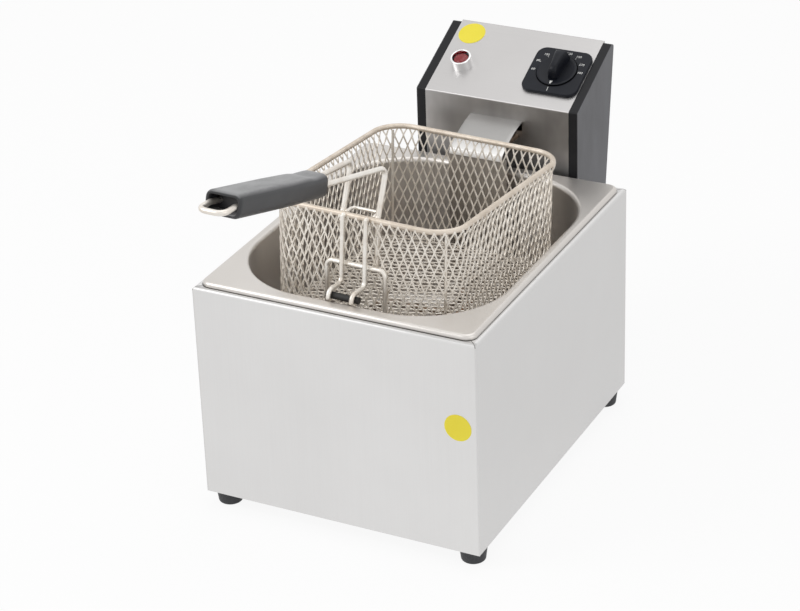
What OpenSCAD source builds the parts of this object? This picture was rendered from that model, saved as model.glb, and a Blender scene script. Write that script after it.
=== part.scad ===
/* [Casing] */
// Width of the casing, side to side
casing_w = 274; // [250:1:310]
// Depth of the casing, front to back
casing_d = 334; // [310:1:370]
// Height of the casing, from its underside to the ledge on top
casing_h = 209; // [195:1:240]
// Thickness of the casing sheet
casing_t = 1.2; // [0.8:0.1:2]
// Outside radius of the fold along the top edges
fold_r = 3; // [2:0.5:6]
// Height of the flanges turned up around the base plate
base_flange_h = 14; // [8:1:30]

/* [Feet] */
// Height of a foot
foot_h = 15.5; // [10:0.5:20]
// Diameter of a foot where it meets the base plate
foot_top_d = 26; // [20:1:28]
// Diameter of a foot on the table
foot_bottom_d = 22; // [16:1:24]
// Distance from the casing's side to a foot's centre
foot_inset_x = 14; // [14:1:40]
// Distance from the casing's front or back to a foot's centre
foot_inset_y = 17; // [14:1:40]
// Diameter of the screw that holds a foot
foot_screw_d = 4; // [3:1:5]

/* [Oil pan] */
// Width of the pan's flange
pan_w = 265; // [245:1:268]
// Depth of the pan's flange, front to back
pan_d = 325; // [305:1:328]
// Depth of the tank, from the flange's top to its floor
pan_depth = 150; // [110:1:175]
// Width of the side flanges
pan_flange_x = 8; // [6:0.5:12]
// Width of the front and back flanges
pan_flange_y = 12; // [9:0.5:16]
// Radius of the tank's upright corners at the top
pan_corner_r = 80; // [50:1:100]
// How much each wall leans in from top to floor
pan_draft = 6; // [2:1:10]
// Radius between the walls and the floor
pan_floor_r = 16; // [8:1:25]
// Radius of the rounded lip between the flange and the wall
pan_lip_r = 4; // [2:0.5:6]
// Thickness of the pan's sheet
pan_t = 1; // [0.8:0.1:1.5]
// Radius of the rounded edge of the flange
pan_edge_r = 3.5; // [2:0.5:5]
// Height of the straight part of the edge below its rounding
pan_skirt_h = 0.8; // [0.5:0.1:3]

/* [Basket] */
// Width of the basket, between the middles of its rim wires
basket_w = 182; // [150:1:200]
// Length of the basket, front to back
basket_l = 218; // [180:1:230]
// Depth of the basket, from the rim to the floor mesh
basket_h = 110; // [80:1:120]
// Radius of the basket's upright corners
basket_r = 28; // [20:1:40]
// Diameter of the rim that the mesh is wrapped on
rim_d = 6.4; // [5:0.2:8]
// Thickness of the expanded mesh
mesh_t = 1.4; // [1:0.1:2]
// Width of one diamond of the mesh
diamond_w = 11; // [9:0.5:20]
// Height of one diamond of the mesh
diamond_h = 24; // [18:1:40]
// Width of a mesh strand
strand = 1.5; // [1:0.1:2.5]
// How far the basket's front is tipped up while it drains, in degrees
basket_tilt = 4; // [0:0.5:6]
// How far the basket is turned about its hook, in degrees
basket_yaw = -2.5; // [-4:0.5:4]

/* [Basket wires] */
// Diameter of the hook and brace wires
wire_d = 4.4; // [3.5:0.1:5]
// Distance between the two hook wires
hook_pitch = 23; // [18:1:36]
// How far the hook reaches down below the rim
hook_drop = 60; // [45:1:75]
// Distance between the legs of the brace
brace_pitch = 58; // [44:1:80]
// How far the brace's top bar lies below the rim
brace_drop = 44; // [30:1:60]
// Diameter of the black sleeve on the hook's cross bar
sleeve_d = 6.4; // [5:0.2:7]

/* [Handle] */
// Diameter of the handle wire
handle_wire_d = 5; // [4:0.2:6]
// Distance between the legs of the handle where they leave the basket
handle_pitch = 34.6; // [28:0.2:44]
// Height of the handle's bend above the rim
handle_rise = 42; // [30:1:60]
// Distance from the basket's front to the grip
grip_reach = 68.5; // [55:0.5:90]
// Height of the grip's near end above the handle's bend
grip_rise = 12.4; // [5:0.2:25]
// Length of the grip
grip_l = 146; // [110:1:180]
// Width of the grip at its outer end
grip_w = 33; // [28:1:40]
// Height of the grip
grip_h = 20; // [18:0.5:28]
// Angle of the grip above the basket's rim, in degrees
grip_angle = 12.5; // [0:0.5:20]
// Length of the hanging loop beyond the grip
loop_l = 17; // [10:1:25]

/* [Control head] */
// Width of the steel panel between the cheeks
head_w = 149; // [135:1:180]
// Thickness of a plastic cheek
cheek_t = 9.3; // [6:0.1:12]
// Gap between the casing and the head
head_gap = 9; // [8:0.5:14]
// How far the head's underside lies below the casing's ledge
head_drop = 59; // [50:1:85]
// Height of the upright front face
head_face_h = 122; // [110:1:140]
// Length of the sloping panel
slope_l = 97.3; // [85:0.1:110]
// Angle of the sloping panel above the level, in degrees
slope_angle = 24.4; // [15:0.1:35]
// How far the back leans in from top to bottom, in degrees
back_lean = 7.5; // [0:0.5:12]
// Thickness of the head's sheet
head_t = 1.2; // [0.8:0.1:2]

/* [Dial and lamp] */
// Distance of the dial's centre from the middle of the panel
dial_x = 45.5; // [38:0.5:46]
// Distance of the dial's centre up the slope from its lower edge
dial_s = 45.5; // [38:0.5:60]
// Width of the square dial plate
dial_w = 57; // [50:1:60]
// Thickness of the dial plate
dial_t = 3.6; // [2:0.1:6]
// Diameter of the knob
knob_d = 39; // [34:0.5:44]
// Height of the knob's bar above the dial plate
knob_h = 13; // [10:1:20]
// Distance of the lamp's centre from the middle of the panel
lamp_x = 51.4; // [40:0.2:60]
// Distance of the lamp's centre up the slope
lamp_s = 38.8; // [20:0.2:70]
// Diameter of the lamp's bezel
lamp_d = 20.4; // [14:0.2:24]
// Height of the lamp's bezel above the panel
lamp_h = 10; // [6:1:16]

/* [Heating element] */
// Width of the hood over the element's legs
hood_w = 54; // [46:1:80]
// Diameter of the element's tube
element_d = 8; // [6:0.5:9]
// Distance between the element's two legs
element_pitch = 38; // [30:1:42]
// Height of the element's legs above the pan's flange, where they leave the head
leg_lift = 25.5; // [20:0.5:28]
// Width of the heating loop in the tank
element_w = 176; // [140:1:190]
// Clearance between the element and the tank's floor
element_lift = 12; // [6:1:25]

/* [Fits] */
// Gap between a part that lifts off and what it rests on
seat = 0.3; // [0.2:0.05:0.5]
// Radial clearance of a screw in its hole
screw_fit = 0.25; // [0.1:0.05:0.4]
// Radial clearance of the thermostat's shaft
shaft_fit = 0.08; // [0.03:0.01:0.1]

/* [Hidden] */
$fn = 48;

steel = "gainsboro";
wire_steel = "ivory";
black_plastic = "#2e2e31";

// The casing stands on its feet, with the whole length of the object centred on the origin.
pan_z = foot_h + casing_h + pan_edge_r + pan_skirt_h + seat;
rim_half_x = pan_w / 2 - pan_flange_x;
rim_half_y = pan_d / 2 - pan_flange_y;
tank_half_x = rim_half_x - pan_lip_r / 2;
tank_half_y = rim_half_y - pan_lip_r / 2;
floor_z = pan_z - pan_depth;

function unit(v) = v / norm(v);
function turn_x(p, a) = [p.x, p.y * cos(a) - p.z * sin(a), p.y * sin(a) + p.z * cos(a)];
function turn_z(p, a) = [p.x * cos(a) - p.y * sin(a), p.x * sin(a) + p.y * cos(a), p.z];

// Basket frame: origin in the middle of the front rim wire, +Y towards the back.
// The tips of its hook stand on the rolled lip at the front of the pan.
hook_tip_drop = 8;
hook_reach = 31;
hook_tip = [0, -hook_reach, -hook_drop - hook_tip_drop];
function posed(p) = turn_z(turn_x(p, -basket_tilt), basket_yaw);
basket_x = 2;
basket_y = 1 - rim_half_y - posed(hook_tip).y;
basket_z = pan_z + seat - posed(hook_tip).z;
grip_near = [0, -grip_reach, handle_rise + grip_rise];
grip_far = grip_near + grip_l * [0, -cos(grip_angle), sin(grip_angle)];
loop_far = grip_far + [0, -loop_l, 0];

// Control head
face_y = casing_d / 2 + head_gap;
head_z = foot_h + casing_h - head_drop;
bend_z = head_z + head_face_h;
slope_top = [face_y + slope_l * cos(slope_angle), bend_z + slope_l * sin(slope_angle)];
back_foot = [slope_top[0] - (slope_top[1] - head_z) * tan(back_lean), head_z];

reach_front = posed(loop_far).y + basket_y - handle_wire_d / 2;
reach_back = slope_top[0];
shift_y = -(reach_front + reach_back) / 2;

module on_axis() { translate([0, shift_y, 0]) children(); }
module in_basket() {
  on_axis() translate([basket_x, basket_y, basket_z])
    rotate([0, 0, basket_yaw]) rotate([-basket_tilt, 0, 0]) children();
}
module on_slope(x, s) {
  on_axis() translate([x, face_y, bend_z]) rotate([slope_angle, 0, 0]) translate([0, s, 0]) children();
}

// Outline with its corners rounded: points run anticlockwise, one radius for each.
module rounded_outline(points, radii) {
  n = len(points);
  difference() {
    polygon(points);
    for (i = [0 : n - 1]) if (radii[i] > 0) {
      p = points[i];
      u = unit(points[(i + n - 1) % n] - p);
      v = unit(points[(i + 1) % n] - p);
      half = acos(u * v) / 2;
      reach = radii[i] / tan(half);
      centre = p + unit(u + v) * radii[i] / sin(half);
      difference() {
        polygon([2 * p - centre, p + v * reach, centre, p + u * reach]);
        translate(centre) circle(r = radii[i]);
      }
    }
  }
}

// Outline of a rectangle centred on the origin, with round corners.
module rounded_rect(w, d, r) {
  square([w - 2 * r, d], center = true);
  square([w, d - 2 * r], center = true);
  for (x = [-1, 1], y = [-1, 1]) translate([x * (w / 2 - r), y * (d / 2 - r)]) circle(r = r);
}

// Profile across a folded sheet box: square at the bottom, round at the top.
module fold_profile(w, h, r) {
  translate([-w / 2, 0]) square([w, h - r]);
  translate([-w / 2 + r, 0]) square([w - 2 * r, h]);
  for (x = [-1, 1]) translate([x * (w / 2 - r), h - r]) circle(r = r);
}

// Box whose four top edges are folded round and meet in mitres.
module folded_box(w, d, h, r) {
  intersection() {
    translate([0, d / 2, 0]) rotate([90, 0, 0]) linear_extrude(d) fold_profile(w, h, r);
    translate([-w / 2, 0, 0]) rotate([90, 0, 90]) linear_extrude(w) fold_profile(d, h, r);
  }
}

// Carries a section, drawn by the children as radius across and height up, round a rectangle with
// round corners. The radius is measured from the corner's own axis.
module carried_round(half_x, half_y, corner_r) {
  cx = half_x - corner_r;
  cy = half_y - corner_r;
  for (i = [0 : 3]) {
    side = i % 2 == 0 ? [cx, cy] : [cy, cx];
    rotate([0, 0, 90 * i]) translate([side.x, side.y, 0]) rotate_extrude(angle = 90, $fn = 96) children();
    rotate([0, 0, 90 * i]) translate([side.x, side.y, 0])
      rotate([90, 0, 0]) linear_extrude(2 * side.y) children();
  }
}

// Round bar from a to b.
module bar(a, b, d) {
  v = b - a;
  translate(a) rotate([0, acos(v.z / norm(v)), atan2(v.y, v.x)]) cylinder(h = norm(v), d = d);
}

// Bend of a round bar at corner p, coming in along u and leaving along v.
module elbow(p, u, v, r, d) {
  turn = acos(u * v);
  n = unit(v - (u * v) * u);
  start = p - u * r * tan(turn / 2);
  centre = start + n * r;
  k = cross(-n, u);
  multmatrix([[-n.x, u.x, k.x, centre.x], [-n.y, u.y, k.y, centre.y], [-n.z, u.z, k.z, centre.z]])
    rotate_extrude(angle = turn) translate([r, 0]) circle(d = d);
}

// Round wire through a list of points, with every corner bent to radius r.
module bent_wire(points, d, r, closed = false) {
  n = len(points);
  function at(i) = points[(i + n) % n];
  function bends(i) = closed || (i > 0 && i < n - 1);
  function along(i) = unit(at(i + 1) - at(i));
  function cut(i) = bends(i) ? r * tan(acos(along(i - 1) * along(i)) / 2) : 0;
  for (i = [0 : closed ? n - 1 : n - 2])
    bar(at(i) + along(i) * cut(i), at(i + 1) - along(i) * cut((i + 1) % n), d);
  for (i = [0 : n - 1]) if (bends(i)) elbow(at(i), along(i - 1), along(i), r, d);
}

// The same wire as one swept tube, for routes that lean out of the main planes.
wire_sides = 16;
bend_step = 15;
function bend_points(p, u, v, r) =
  let (turn = acos(u * v), n = unit(v - (u * v) * u), centre = p - u * r * tan(turn / 2) + n * r,
       steps = max(1, ceil(turn / bend_step)))
  [for (i = [0 : steps]) let (a = turn * i / steps) centre + r * (u * sin(a) - n * cos(a))];
function route(points, r) = concat([points[0]],
  [for (i = [1 : len(points) - 2]) each bend_points(points[i], unit(points[i] - points[i - 1]),
    unit(points[i + 1] - points[i]), r)], [points[len(points) - 1]]);
module swept_wire(points, d, r) {
  path = route(points, r);
  n = len(path);
  heading = [for (i = [0 : n - 1]) unit(path[min(i + 1, n - 1)] - path[max(i - 1, 0)])];
  side = unit(cross(heading[0], [0.3, 0.5, 0.8]));
  sides = [for (i = 0, v = side; i < n; i = i + 1,
    v = i < n ? unit(v - (v * heading[i]) * heading[i]) : v) v];
  rings = [for (i = [0 : n - 1], k = [0 : wire_sides - 1]) let (a = 360 * k / wire_sides)
    path[i] + d / 2 * (cos(a) * sides[i] + sin(a) * cross(heading[i], sides[i]))];
  polyhedron(rings, concat([[for (k = [0 : wire_sides - 1]) k]],
    [for (i = [0 : n - 2], k = [0 : wire_sides - 1]) let (a = i * wire_sides, next = (k + 1) % wire_sides)
      [a + k, a + wire_sides + k, a + wire_sides + next, a + next]],
    [[for (k = [wire_sides - 1 : -1 : 0]) (n - 1) * wire_sides + k]]));
}

// Section of a bent sheet: the points run along one face, and the sheet lies to their left.
function left_of(u) = [-u.y, u.x];
function other_face(points, t) = [for (i = [0 : len(points) - 1])
  let (a = i > 0 ? unit(points[i] - points[i - 1]) : unit(points[1] - points[0]),
       b = i < len(points) - 1 ? unit(points[i + 1] - points[i]) : a,
       m = unit(left_of(a) + left_of(b)))
  points[i] + m * t / (m * left_of(b))];
module sheet_section(points, t, r) {
  back = other_face(points, t);
  n = len(points);
  turns = [for (i = [0 : n - 1]) i == 0 || i == n - 1 ? 0
    : cross(points[i] - points[i - 1], points[i + 1] - points[i])];
  rounded_outline(concat(points, [for (i = [n - 1 : -1 : 0]) back[i]]),
    concat([for (i = [0 : n - 1]) turns[i] > 0 ? r : 0], [for (i = [n - 1 : -1 : 0]) turns[i] < 0 ? r : 0]));
}

// A section drawn in depth and height, made w wide and centred on x = 0.
module across(w) { translate([-w / 2, 0, 0]) rotate([90, 0, 90]) linear_extrude(w) children(); }

// ---------------------------------------------------------------- casing

ledge_gap = 1.5;
ledge_corner_r = 30;

module outer_casing() {
  color(steel) on_axis() translate([0, 0, foot_h]) difference() {
    folded_box(casing_w, casing_d, casing_h, fold_r);
    translate([0, 0, -1])
      folded_box(casing_w - 2 * casing_t, casing_d - 2 * casing_t, casing_h - casing_t + 1, fold_r - casing_t);
    translate([0, 0, casing_h / 2]) linear_extrude(casing_h)
      rounded_rect(2 * (tank_half_x + pan_t + ledge_gap), 2 * (tank_half_y + pan_t + ledge_gap), ledge_corner_r);
    for (x = [-1, 1]) translate([x * rail_screw_x, casing_d / 2, rail_z - foot_h + rail_h - rail_screw_drop])
      rotate([90, 0, 0]) cylinder(h = 6 * casing_t, d = rail_screw_d + 2 * screw_fit, center = true);
  }
}

foot_x = casing_w / 2 - foot_inset_x;
foot_y = casing_d / 2 - foot_inset_y;
module at_feet() { on_axis() for (x = [-1, 1], y = [-1, 1]) translate([x * foot_x, y * foot_y, 0]) children(); }

vent_l = 120;
vent_w = 6;
vent_pitch = 18;
vents = 5;
module base_plate() {
  w = casing_w - 2 * casing_t;
  d = casing_d - 2 * casing_t;
  color("silver") difference() {
    on_axis() translate([-w / 2, -d / 2, foot_h]) difference() {
      cube([w, d, base_flange_h]);
      translate([casing_t, casing_t, casing_t]) cube([w - 2 * casing_t, d - 2 * casing_t, base_flange_h]);
    }
    at_feet() translate([0, 0, foot_h / 2]) cylinder(h = foot_h, d = foot_screw_d + 2 * screw_fit);
    on_axis() for (i = [0 : vents - 1]) translate([0, (i - (vents - 1) / 2) * vent_pitch, foot_h - 1])
      linear_extrude(2 + casing_t) rounded_rect(vent_l, vent_w, vent_w / 2 - 0.1);
  }
}

foot_head_d = 2 * foot_screw_d;
foot_head_h = 2.6;
foot_head_z = 3;
module rubber_feet() {
  color("#3a3c40") at_feet() difference() {
    rotate_extrude() rounded_outline(
      [[0, 0], [foot_bottom_d / 2, 0], [foot_top_d / 2, foot_h], [0, foot_h]], [0, 2, 1, 0]);
    translate([0, 0, -1]) cylinder(h = foot_h + 2, d = foot_screw_d + 2 * screw_fit);
    translate([0, 0, -1]) cylinder(h = foot_head_z + 1 + foot_head_h, d = foot_head_d + 2 * screw_fit);
  }
}

module foot_screws() {
  nut_z = foot_h + casing_t;
  color("darkgray") at_feet() {
    translate([0, 0, foot_head_z]) cylinder(h = foot_head_h, d = foot_head_d);
    translate([0, 0, foot_head_z]) cylinder(h = nut_z + foot_screw_d + 1.5 - foot_head_z, d = foot_screw_d);
    translate([0, 0, nut_z]) cylinder(h = 0.8 * foot_screw_d, d = 2 * foot_screw_d, $fn = 6);
  }
}

// The rail on the casing's back takes the head's hanger: a plate, a channel and an upright lip.
rail_w = 110;
rail_t = 1.5;
rail_h = 30;
lip_h = 14;
tongue_t = 2;
channel = tongue_t + 2 * seat;
rail_z = head_z + 12;
rail_screw_x = 40;
rail_screw_d = 4;
rail_screw_drop = 6;
module hanger_rail() {
  y = casing_d / 2;
  color("silver") on_axis() difference() {
    across(rail_w) sheet_section([[y, rail_z + rail_h], [y, rail_z],
      [y + 2 * rail_t + channel, rail_z], [y + 2 * rail_t + channel, rail_z + lip_h]], rail_t, 1);
    for (x = [-1, 1]) translate([x * rail_screw_x, y, rail_z + rail_h - rail_screw_drop])
      rotate([90, 0, 0]) cylinder(h = 4 * rail_t, d = rail_screw_d + 2 * screw_fit, center = true);
  }
}

module rail_screws() {
  y = casing_d / 2;
  color("darkgray") on_axis() for (x = [-1, 1])
    translate([x * rail_screw_x, y, rail_z + rail_h - rail_screw_drop]) rotate([-90, 0, 0]) {
      translate([0, 0, rail_t]) cylinder(h = 1.6, d = 1.8 * rail_screw_d);
      translate([0, 0, -casing_t - 4]) cylinder(h = casing_t + 4 + rail_t, d = rail_screw_d);
      translate([0, 0, -casing_t - 3]) cylinder(h = 3, d = 2 * rail_screw_d, $fn = 6);
    }
}

// ---------------------------------------------------------------- oil pan

pan_rim_r = 10;
// How far the sections of the tank and of the edge run on into the flat flange
flat_run = 1;
// Quarter ring between two radii, in the quadrant or wedge that the points a and b bound.
module ring_wedge(centre, r0, r1, a, b) {
  intersection() {
    difference() {
      translate(centre) circle(r = r1, $fn = 96);
      translate(centre) circle(r = r0, $fn = 96);
    }
    polygon([centre, centre + 2 * r1 * a, centre + 2 * r1 * (a + b), centre + 2 * r1 * b]);
  }
}

// Section of the tank's sheet: floor, floor radius, leaning wall and rolled lip.
module tank_section() {
  lip_z = pan_z - pan_lip_r;
  lean = atan(pan_draft / (lip_z - floor_z));
  wall = [cos(lean), -sin(lean)];
  centre = [pan_corner_r - pan_draft + pan_floor_r * (tan(lean) - 1 / cos(lean)), floor_z + pan_floor_r];
  translate([0, floor_z - pan_t]) square([centre.x, pan_t]);
  ring_wedge(centre, pan_floor_r, pan_floor_r + pan_t, [0, -1], wall);
  polygon([centre + pan_floor_r * wall, centre + (pan_floor_r + pan_t) * wall,
    [pan_corner_r + pan_t, lip_z], [pan_corner_r, lip_z]]);
  ring_wedge([pan_corner_r + pan_lip_r, lip_z], pan_lip_r - pan_t, pan_lip_r, [-1, 0], [0, 1]);
  translate([pan_corner_r + pan_lip_r, pan_z - pan_t]) square([flat_run, pan_t]);
}

// Section of the flange's outer edge: the flat, its round fold and the turned-down skirt.
module skirt_section() {
  fold = [pan_rim_r - pan_edge_r, pan_z - pan_edge_r];
  translate([fold.x - flat_run, pan_z - pan_t]) square([flat_run, pan_t]);
  ring_wedge(fold, pan_edge_r - pan_t, pan_edge_r, [0, 1], [1, 0]);
  translate([pan_rim_r - pan_t, pan_z - pan_edge_r - pan_skirt_h]) square([pan_t, pan_skirt_h]);
}

module oil_pan() {
  inner = pan_corner_r + pan_lip_r;
  color(steel) on_axis() {
    carried_round(pan_w / 2, pan_d / 2, pan_rim_r) skirt_section();
    translate([0, 0, pan_z - pan_t]) linear_extrude(pan_t) difference() {
      rounded_rect(pan_w - 2 * pan_edge_r, pan_d - 2 * pan_edge_r, pan_rim_r - pan_edge_r);
      rounded_rect(2 * (tank_half_x + pan_lip_r), 2 * (tank_half_y + pan_lip_r), inner);
    }
    carried_round(tank_half_x, tank_half_y, pan_corner_r) tank_section();
    translate([0, 0, floor_z - pan_t / 2])
      cube([2 * (tank_half_x - pan_corner_r), 2 * (tank_half_y - pan_corner_r), pan_t], center = true);
  }
}

// ---------------------------------------------------------------- basket

// Expanded mesh in the XY plane, centred in X and starting at y = 0, with a closed border.
function diamond(c, w, h) = [c + [w / 2, 0], c + [0, h / 2], c - [w / 2, 0], c - [0, h / 2]];
function round_corners(w, h, r) = r == 0 ? [[-w / 2, 0], [w / 2, 0], [w / 2, h], [-w / 2, h]]
  : [for (i = [0 : 3], a = [0 : 15 : 90]) let (sx = i < 1 || i > 2 ? 1 : -1, sy = i < 2 ? 1 : -1)
      [sx * (w / 2 - r), h / 2 + sy * (h / 2 - r)] + r * [cos(90 * i + a), sin(90 * i + a)]];
module mesh_sheet(w, h, corner_r = 0) {
  columns = floor((w - strand) / diamond_w);
  rows = max(1, floor(2 * (h - strand) / diamond_h) - 1);
  pitch_x = (w - strand) / columns;
  pitch_y = (h - strand) / (rows + 1);
  open_w = pitch_x - 1.3 * strand;
  open_h = 2 * pitch_y - 3 * strand;
  border = round_corners(w, h, corner_r);
  n = len(border);
  function in_corner(c) = abs(c.x) > w / 2 - corner_r && abs(c.y - h / 2) > h / 2 - corner_r;
  centres = [for (j = [0 : rows - 1], i = [0 : columns - 1 - j % 2])
    let (c = [(i - (columns - 1 - j % 2) / 2) * pitch_x, strand / 2 + (j + 1) * pitch_y])
    if (!in_corner(c)) c];
  linear_extrude(mesh_t) polygon(
    concat(border, [for (c = centres) each diamond(c, open_w, open_h)]),
    concat([[for (k = [0 : n - 1]) k]],
      [for (k = [0 : len(centres) - 1]) [for (m = [0 : 3]) n + 4 * k + m]]));
}

mesh_top = -rim_d / 2;
mesh_side_h = basket_h + mesh_top;
mesh_w = basket_w - 2 * basket_r;
mesh_l = basket_l - 2 * basket_r;

module mesh_wall(w) { rotate([90, 0, 0]) translate([0, 0, -mesh_t / 2]) mesh_sheet(w, mesh_side_h); }

module mesh_front() { color(wire_steel) in_basket() translate([0, 0, -basket_h]) mesh_wall(mesh_w); }

module mesh_back() { color(wire_steel) in_basket() translate([0, basket_l, -basket_h]) mesh_wall(mesh_w); }

module mesh_side(side) {
  color(wire_steel) in_basket() translate([side * basket_w / 2, basket_l / 2, -basket_h])
    rotate([0, 0, 90]) mesh_wall(mesh_l);
}

module mesh_left() { mesh_side(-1); }

module mesh_right() { mesh_side(1); }

module mesh_corners() {
  columns = floor(PI / 2 * basket_r / diamond_w);
  rows = max(1, floor(2 * (mesh_side_h - strand) / diamond_h) - 1);
  pitch = (mesh_side_h - strand) / (rows + 1);
  open_w = PI / 2 * basket_r / columns - 1.3 * strand;
  open_h = 2 * pitch - 3 * strand;
  color(wire_steel) in_basket() for (i = [0 : 3])
    translate([(i == 1 || i == 2 ? -1 : 1) * mesh_w / 2, basket_l / 2 + (i < 2 ? 1 : -1) * mesh_l / 2, -basket_h])
      rotate([0, 0, 90 * i]) difference() {
        rotate_extrude(angle = 90) translate([basket_r - mesh_t / 2, 0]) square([mesh_t, mesh_side_h]);
        for (j = [0 : rows - 1], c = [0 : columns - 1 - j % 2])
          rotate([0, 0, (c + 0.5 + (j % 2) / 2) * 90 / columns])
            translate([basket_r - 2 * mesh_t, 0, strand / 2 + (j + 1) * pitch])
              rotate([90, 0, 90]) linear_extrude(4 * mesh_t) polygon(diamond([0, 0], open_w, open_h));
      }
}

module mesh_floor() {
  w = basket_w + mesh_t;
  l = basket_l + mesh_t;
  color(wire_steel) in_basket() translate([-w / 2, basket_l / 2, -basket_h - mesh_t])
    rotate([0, 0, -90]) mesh_sheet(l, w, basket_r + mesh_t / 2);
}

module basket_rim() {
  x = basket_w / 2;
  color(wire_steel) in_basket()
    bent_wire([[-x, 0, 0], [x, 0, 0], [x, basket_l, 0], [-x, basket_l, 0]], rim_d, basket_r, closed = true);
}

seam_d = 2.6;
module seam_wires() {
  reach = basket_r - mesh_t / 2 - seam_d / 2;
  color(wire_steel) in_basket() for (s = [-1, 1])
    translate([s * (mesh_w / 2 + reach * sin(45)), basket_l / 2 - s * (mesh_l / 2 + reach * sin(45)), -basket_h])
      cylinder(h = mesh_side_h, d = seam_d);
}

bend_r = 6;
module hook_wires() {
  start = -(rim_d + wire_d) / 2;
  color(wire_steel) in_basket() for (s = [-1, 1]) translate([s * hook_pitch / 2, 0, 0])
    swept_wire([[0, start, rim_d / 2 - 1], [0, start - 3, -hook_drop], [0, -hook_reach, -hook_drop], hook_tip],
      wire_d, bend_r);
}

module hook_sleeve() {
  l = hook_pitch + 2 * wire_d;
  clear = bend_r - wire_d / 2 - sleeve_d / 2 - seat;
  y = bend_r - hook_reach - clear * sin(45);
  z = clear * cos(45) - hook_drop - bend_r;
  color("#26221f") in_basket() translate([-l / 2, y, z]) rotate([0, 90, 0]) cylinder(h = l, d = sleeve_d);
}

// The brace keeps the hanging basket off the tank's front wall.
brace_y = -(mesh_t + wire_d) / 2;
brace_foot_z = -basket_h + 6;
function tank_front(z) = -tank_half_y + pan_draft * (pan_z - pan_lip_r - z) / (pan_depth - pan_lip_r);
brace_foot_y = ((tank_front(basket_z + brace_foot_z) + wire_d / 2 + 2 * seat - basket_y
  + abs(sin(basket_yaw)) * brace_pitch / 2) / cos(basket_yaw) - brace_foot_z * sin(basket_tilt)) / cos(basket_tilt);
module brace_wire() {
  x = brace_pitch / 2;
  color(wire_steel) in_basket()
    bent_wire([[-x, brace_foot_y, brace_foot_z], [-x, brace_y, brace_foot_z], [-x, brace_y, -brace_drop],
      [x, brace_y, -brace_drop], [x, brace_y, brace_foot_z], [x, brace_foot_y, brace_foot_z]], wire_d, bend_r);
}

// ---------------------------------------------------------------- handle

leg_foot_y = (mesh_t + handle_wire_d) / 2;
leg_rim_y = (rim_d + handle_wire_d) / 2;
leg_top_y = 20;
grip_wall = 2.2;
grip_near_w = 25;
wire_near_x = grip_near_w / 2 - grip_wall - handle_wire_d / 2 - seat;
wire_far_x = grip_w / 2 - grip_wall - handle_wire_d / 2 - seat;

module handle_wire() {
  x = handle_pitch / 2;
  d = handle_wire_d;
  function leg(s) = [[s * x, leg_foot_y, -brace_drop], [s * x, leg_rim_y, 0], [s * x, leg_top_y, handle_rise],
    grip_near + [s * wire_near_x, 0, 0], grip_far + [s * wire_far_x, 0, 0]];
  color(wire_steel) in_basket() swept_wire(concat(leg(-1), [loop_far - [wire_far_x, 0, 0],
    loop_far + [wire_far_x, 0, 0]], [for (i = [4 : -1 : 0]) leg(1)[i]]), d, bend_r);
}

keeper_d = 3;
module keeper_wire() {
  x = (handle_pitch - handle_wire_d - keeper_d) / 2;
  y0 = (rim_d + keeper_d) / 2;
  z = 1;
  color(wire_steel) in_basket()
    bent_wire([[-x, y0, z], [-x, y0 + 11, z], [x, y0 + 11, z], [x, y0, z]], keeper_d, 4);
}

// Rounded bar between the two ends of the grip. With inset it is the hollow, running out past both ends.
module grip_bar(inset, past) {
  axis = [0, -cos(grip_angle), sin(grip_angle)];
  slab = 3;
  hull() for (end = [[grip_near - past * axis, grip_near_w], [grip_far + (past - slab) * axis, grip_w]])
    translate(end[0]) rotate([90 - grip_angle, 0, 0]) linear_extrude(slab, $fn = 32)
      rounded_rect(end[1] - 2 * inset, grip_h - 2 * inset, 4 - inset / 2);
}

module handle_grip() {
  color("#55565a") in_basket() difference() {
    grip_bar(0, 0);
    grip_bar(grip_wall, 1);
  }
}

// ---------------------------------------------------------------- control head

// The head's outline in depth and height, anticlockwise from the foot of its front face.
outline = [[face_y, head_z], back_foot, slope_top, [face_y, bend_z]];
function inset_outline(t) = let (f = other_face([for (i = [2 : 7]) outline[i % 4]], t)) [f[2], f[3], f[4], f[1]];
up_back = unit(slope_top - back_foot);
head_lip = 11;
// Gap between the front panel and the rear cover that it laps over
lap_gap = 0.1;
leg_z = pan_z + leg_lift;
leg_y = tank_half_y - 10;
capillary_d = 2;

module front_panel() {
  start = slope_top - head_lip * up_back;
  color(steel) difference() {
    on_axis() across(head_w) sheet_section([start, slope_top, outline[3], outline[0]], head_t, 1.5);
    on_slope(dial_x, dial_s) {
      cylinder(h = 4 * head_t, d = neck_d + 2 * screw_fit, center = true);
      for (s = [-1, 1]) translate([s * dial_screw_x, 0, 0])
        cylinder(h = 4 * head_t, d = dial_screw_d + 2 * screw_fit, center = true);
    }
    on_slope(-lamp_x, lamp_s) cylinder(h = 4 * head_t, d = lamp_neck_d + 2 * screw_fit, center = true);
    at_legs() cylinder(h = 4 * head_t, d = element_d + 2 * screw_fit, center = true);
    on_axis() translate([0, face_y, leg_z]) rotate([90, 0, 0])
      cylinder(h = 4 * head_t, d = 2 * capillary_d, center = true);
    at_cover_screws() cylinder(h = 6 * head_t, d = cover_screw_d + 2 * screw_fit, center = true);
  }
}

module at_legs() {
  on_axis() for (s = [-1, 1]) translate([s * element_pitch / 2, face_y, leg_z]) rotate([-90, 0, 0]) children();
}

// Two screws through each lip of the head's sheets, from outside.
cover_screw_d = 3;
cover_screw_in = 12;
cover_screw_l = 3 * head_t;
module at_cover_screws() {
  top = slope_top - head_lip / 2 * up_back;
  on_axis() for (s = [-1, 1]) {
    translate([s * (head_w / 2 - cover_screw_in), top.x, top.y])
      rotate([-90 - acos(up_back.y), 0, 0]) children();
    translate([s * (head_w / 2 - cover_screw_in), face_y, head_z + head_t + head_lip / 2])
      rotate([90, 0, 0]) children();
  }
}

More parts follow.
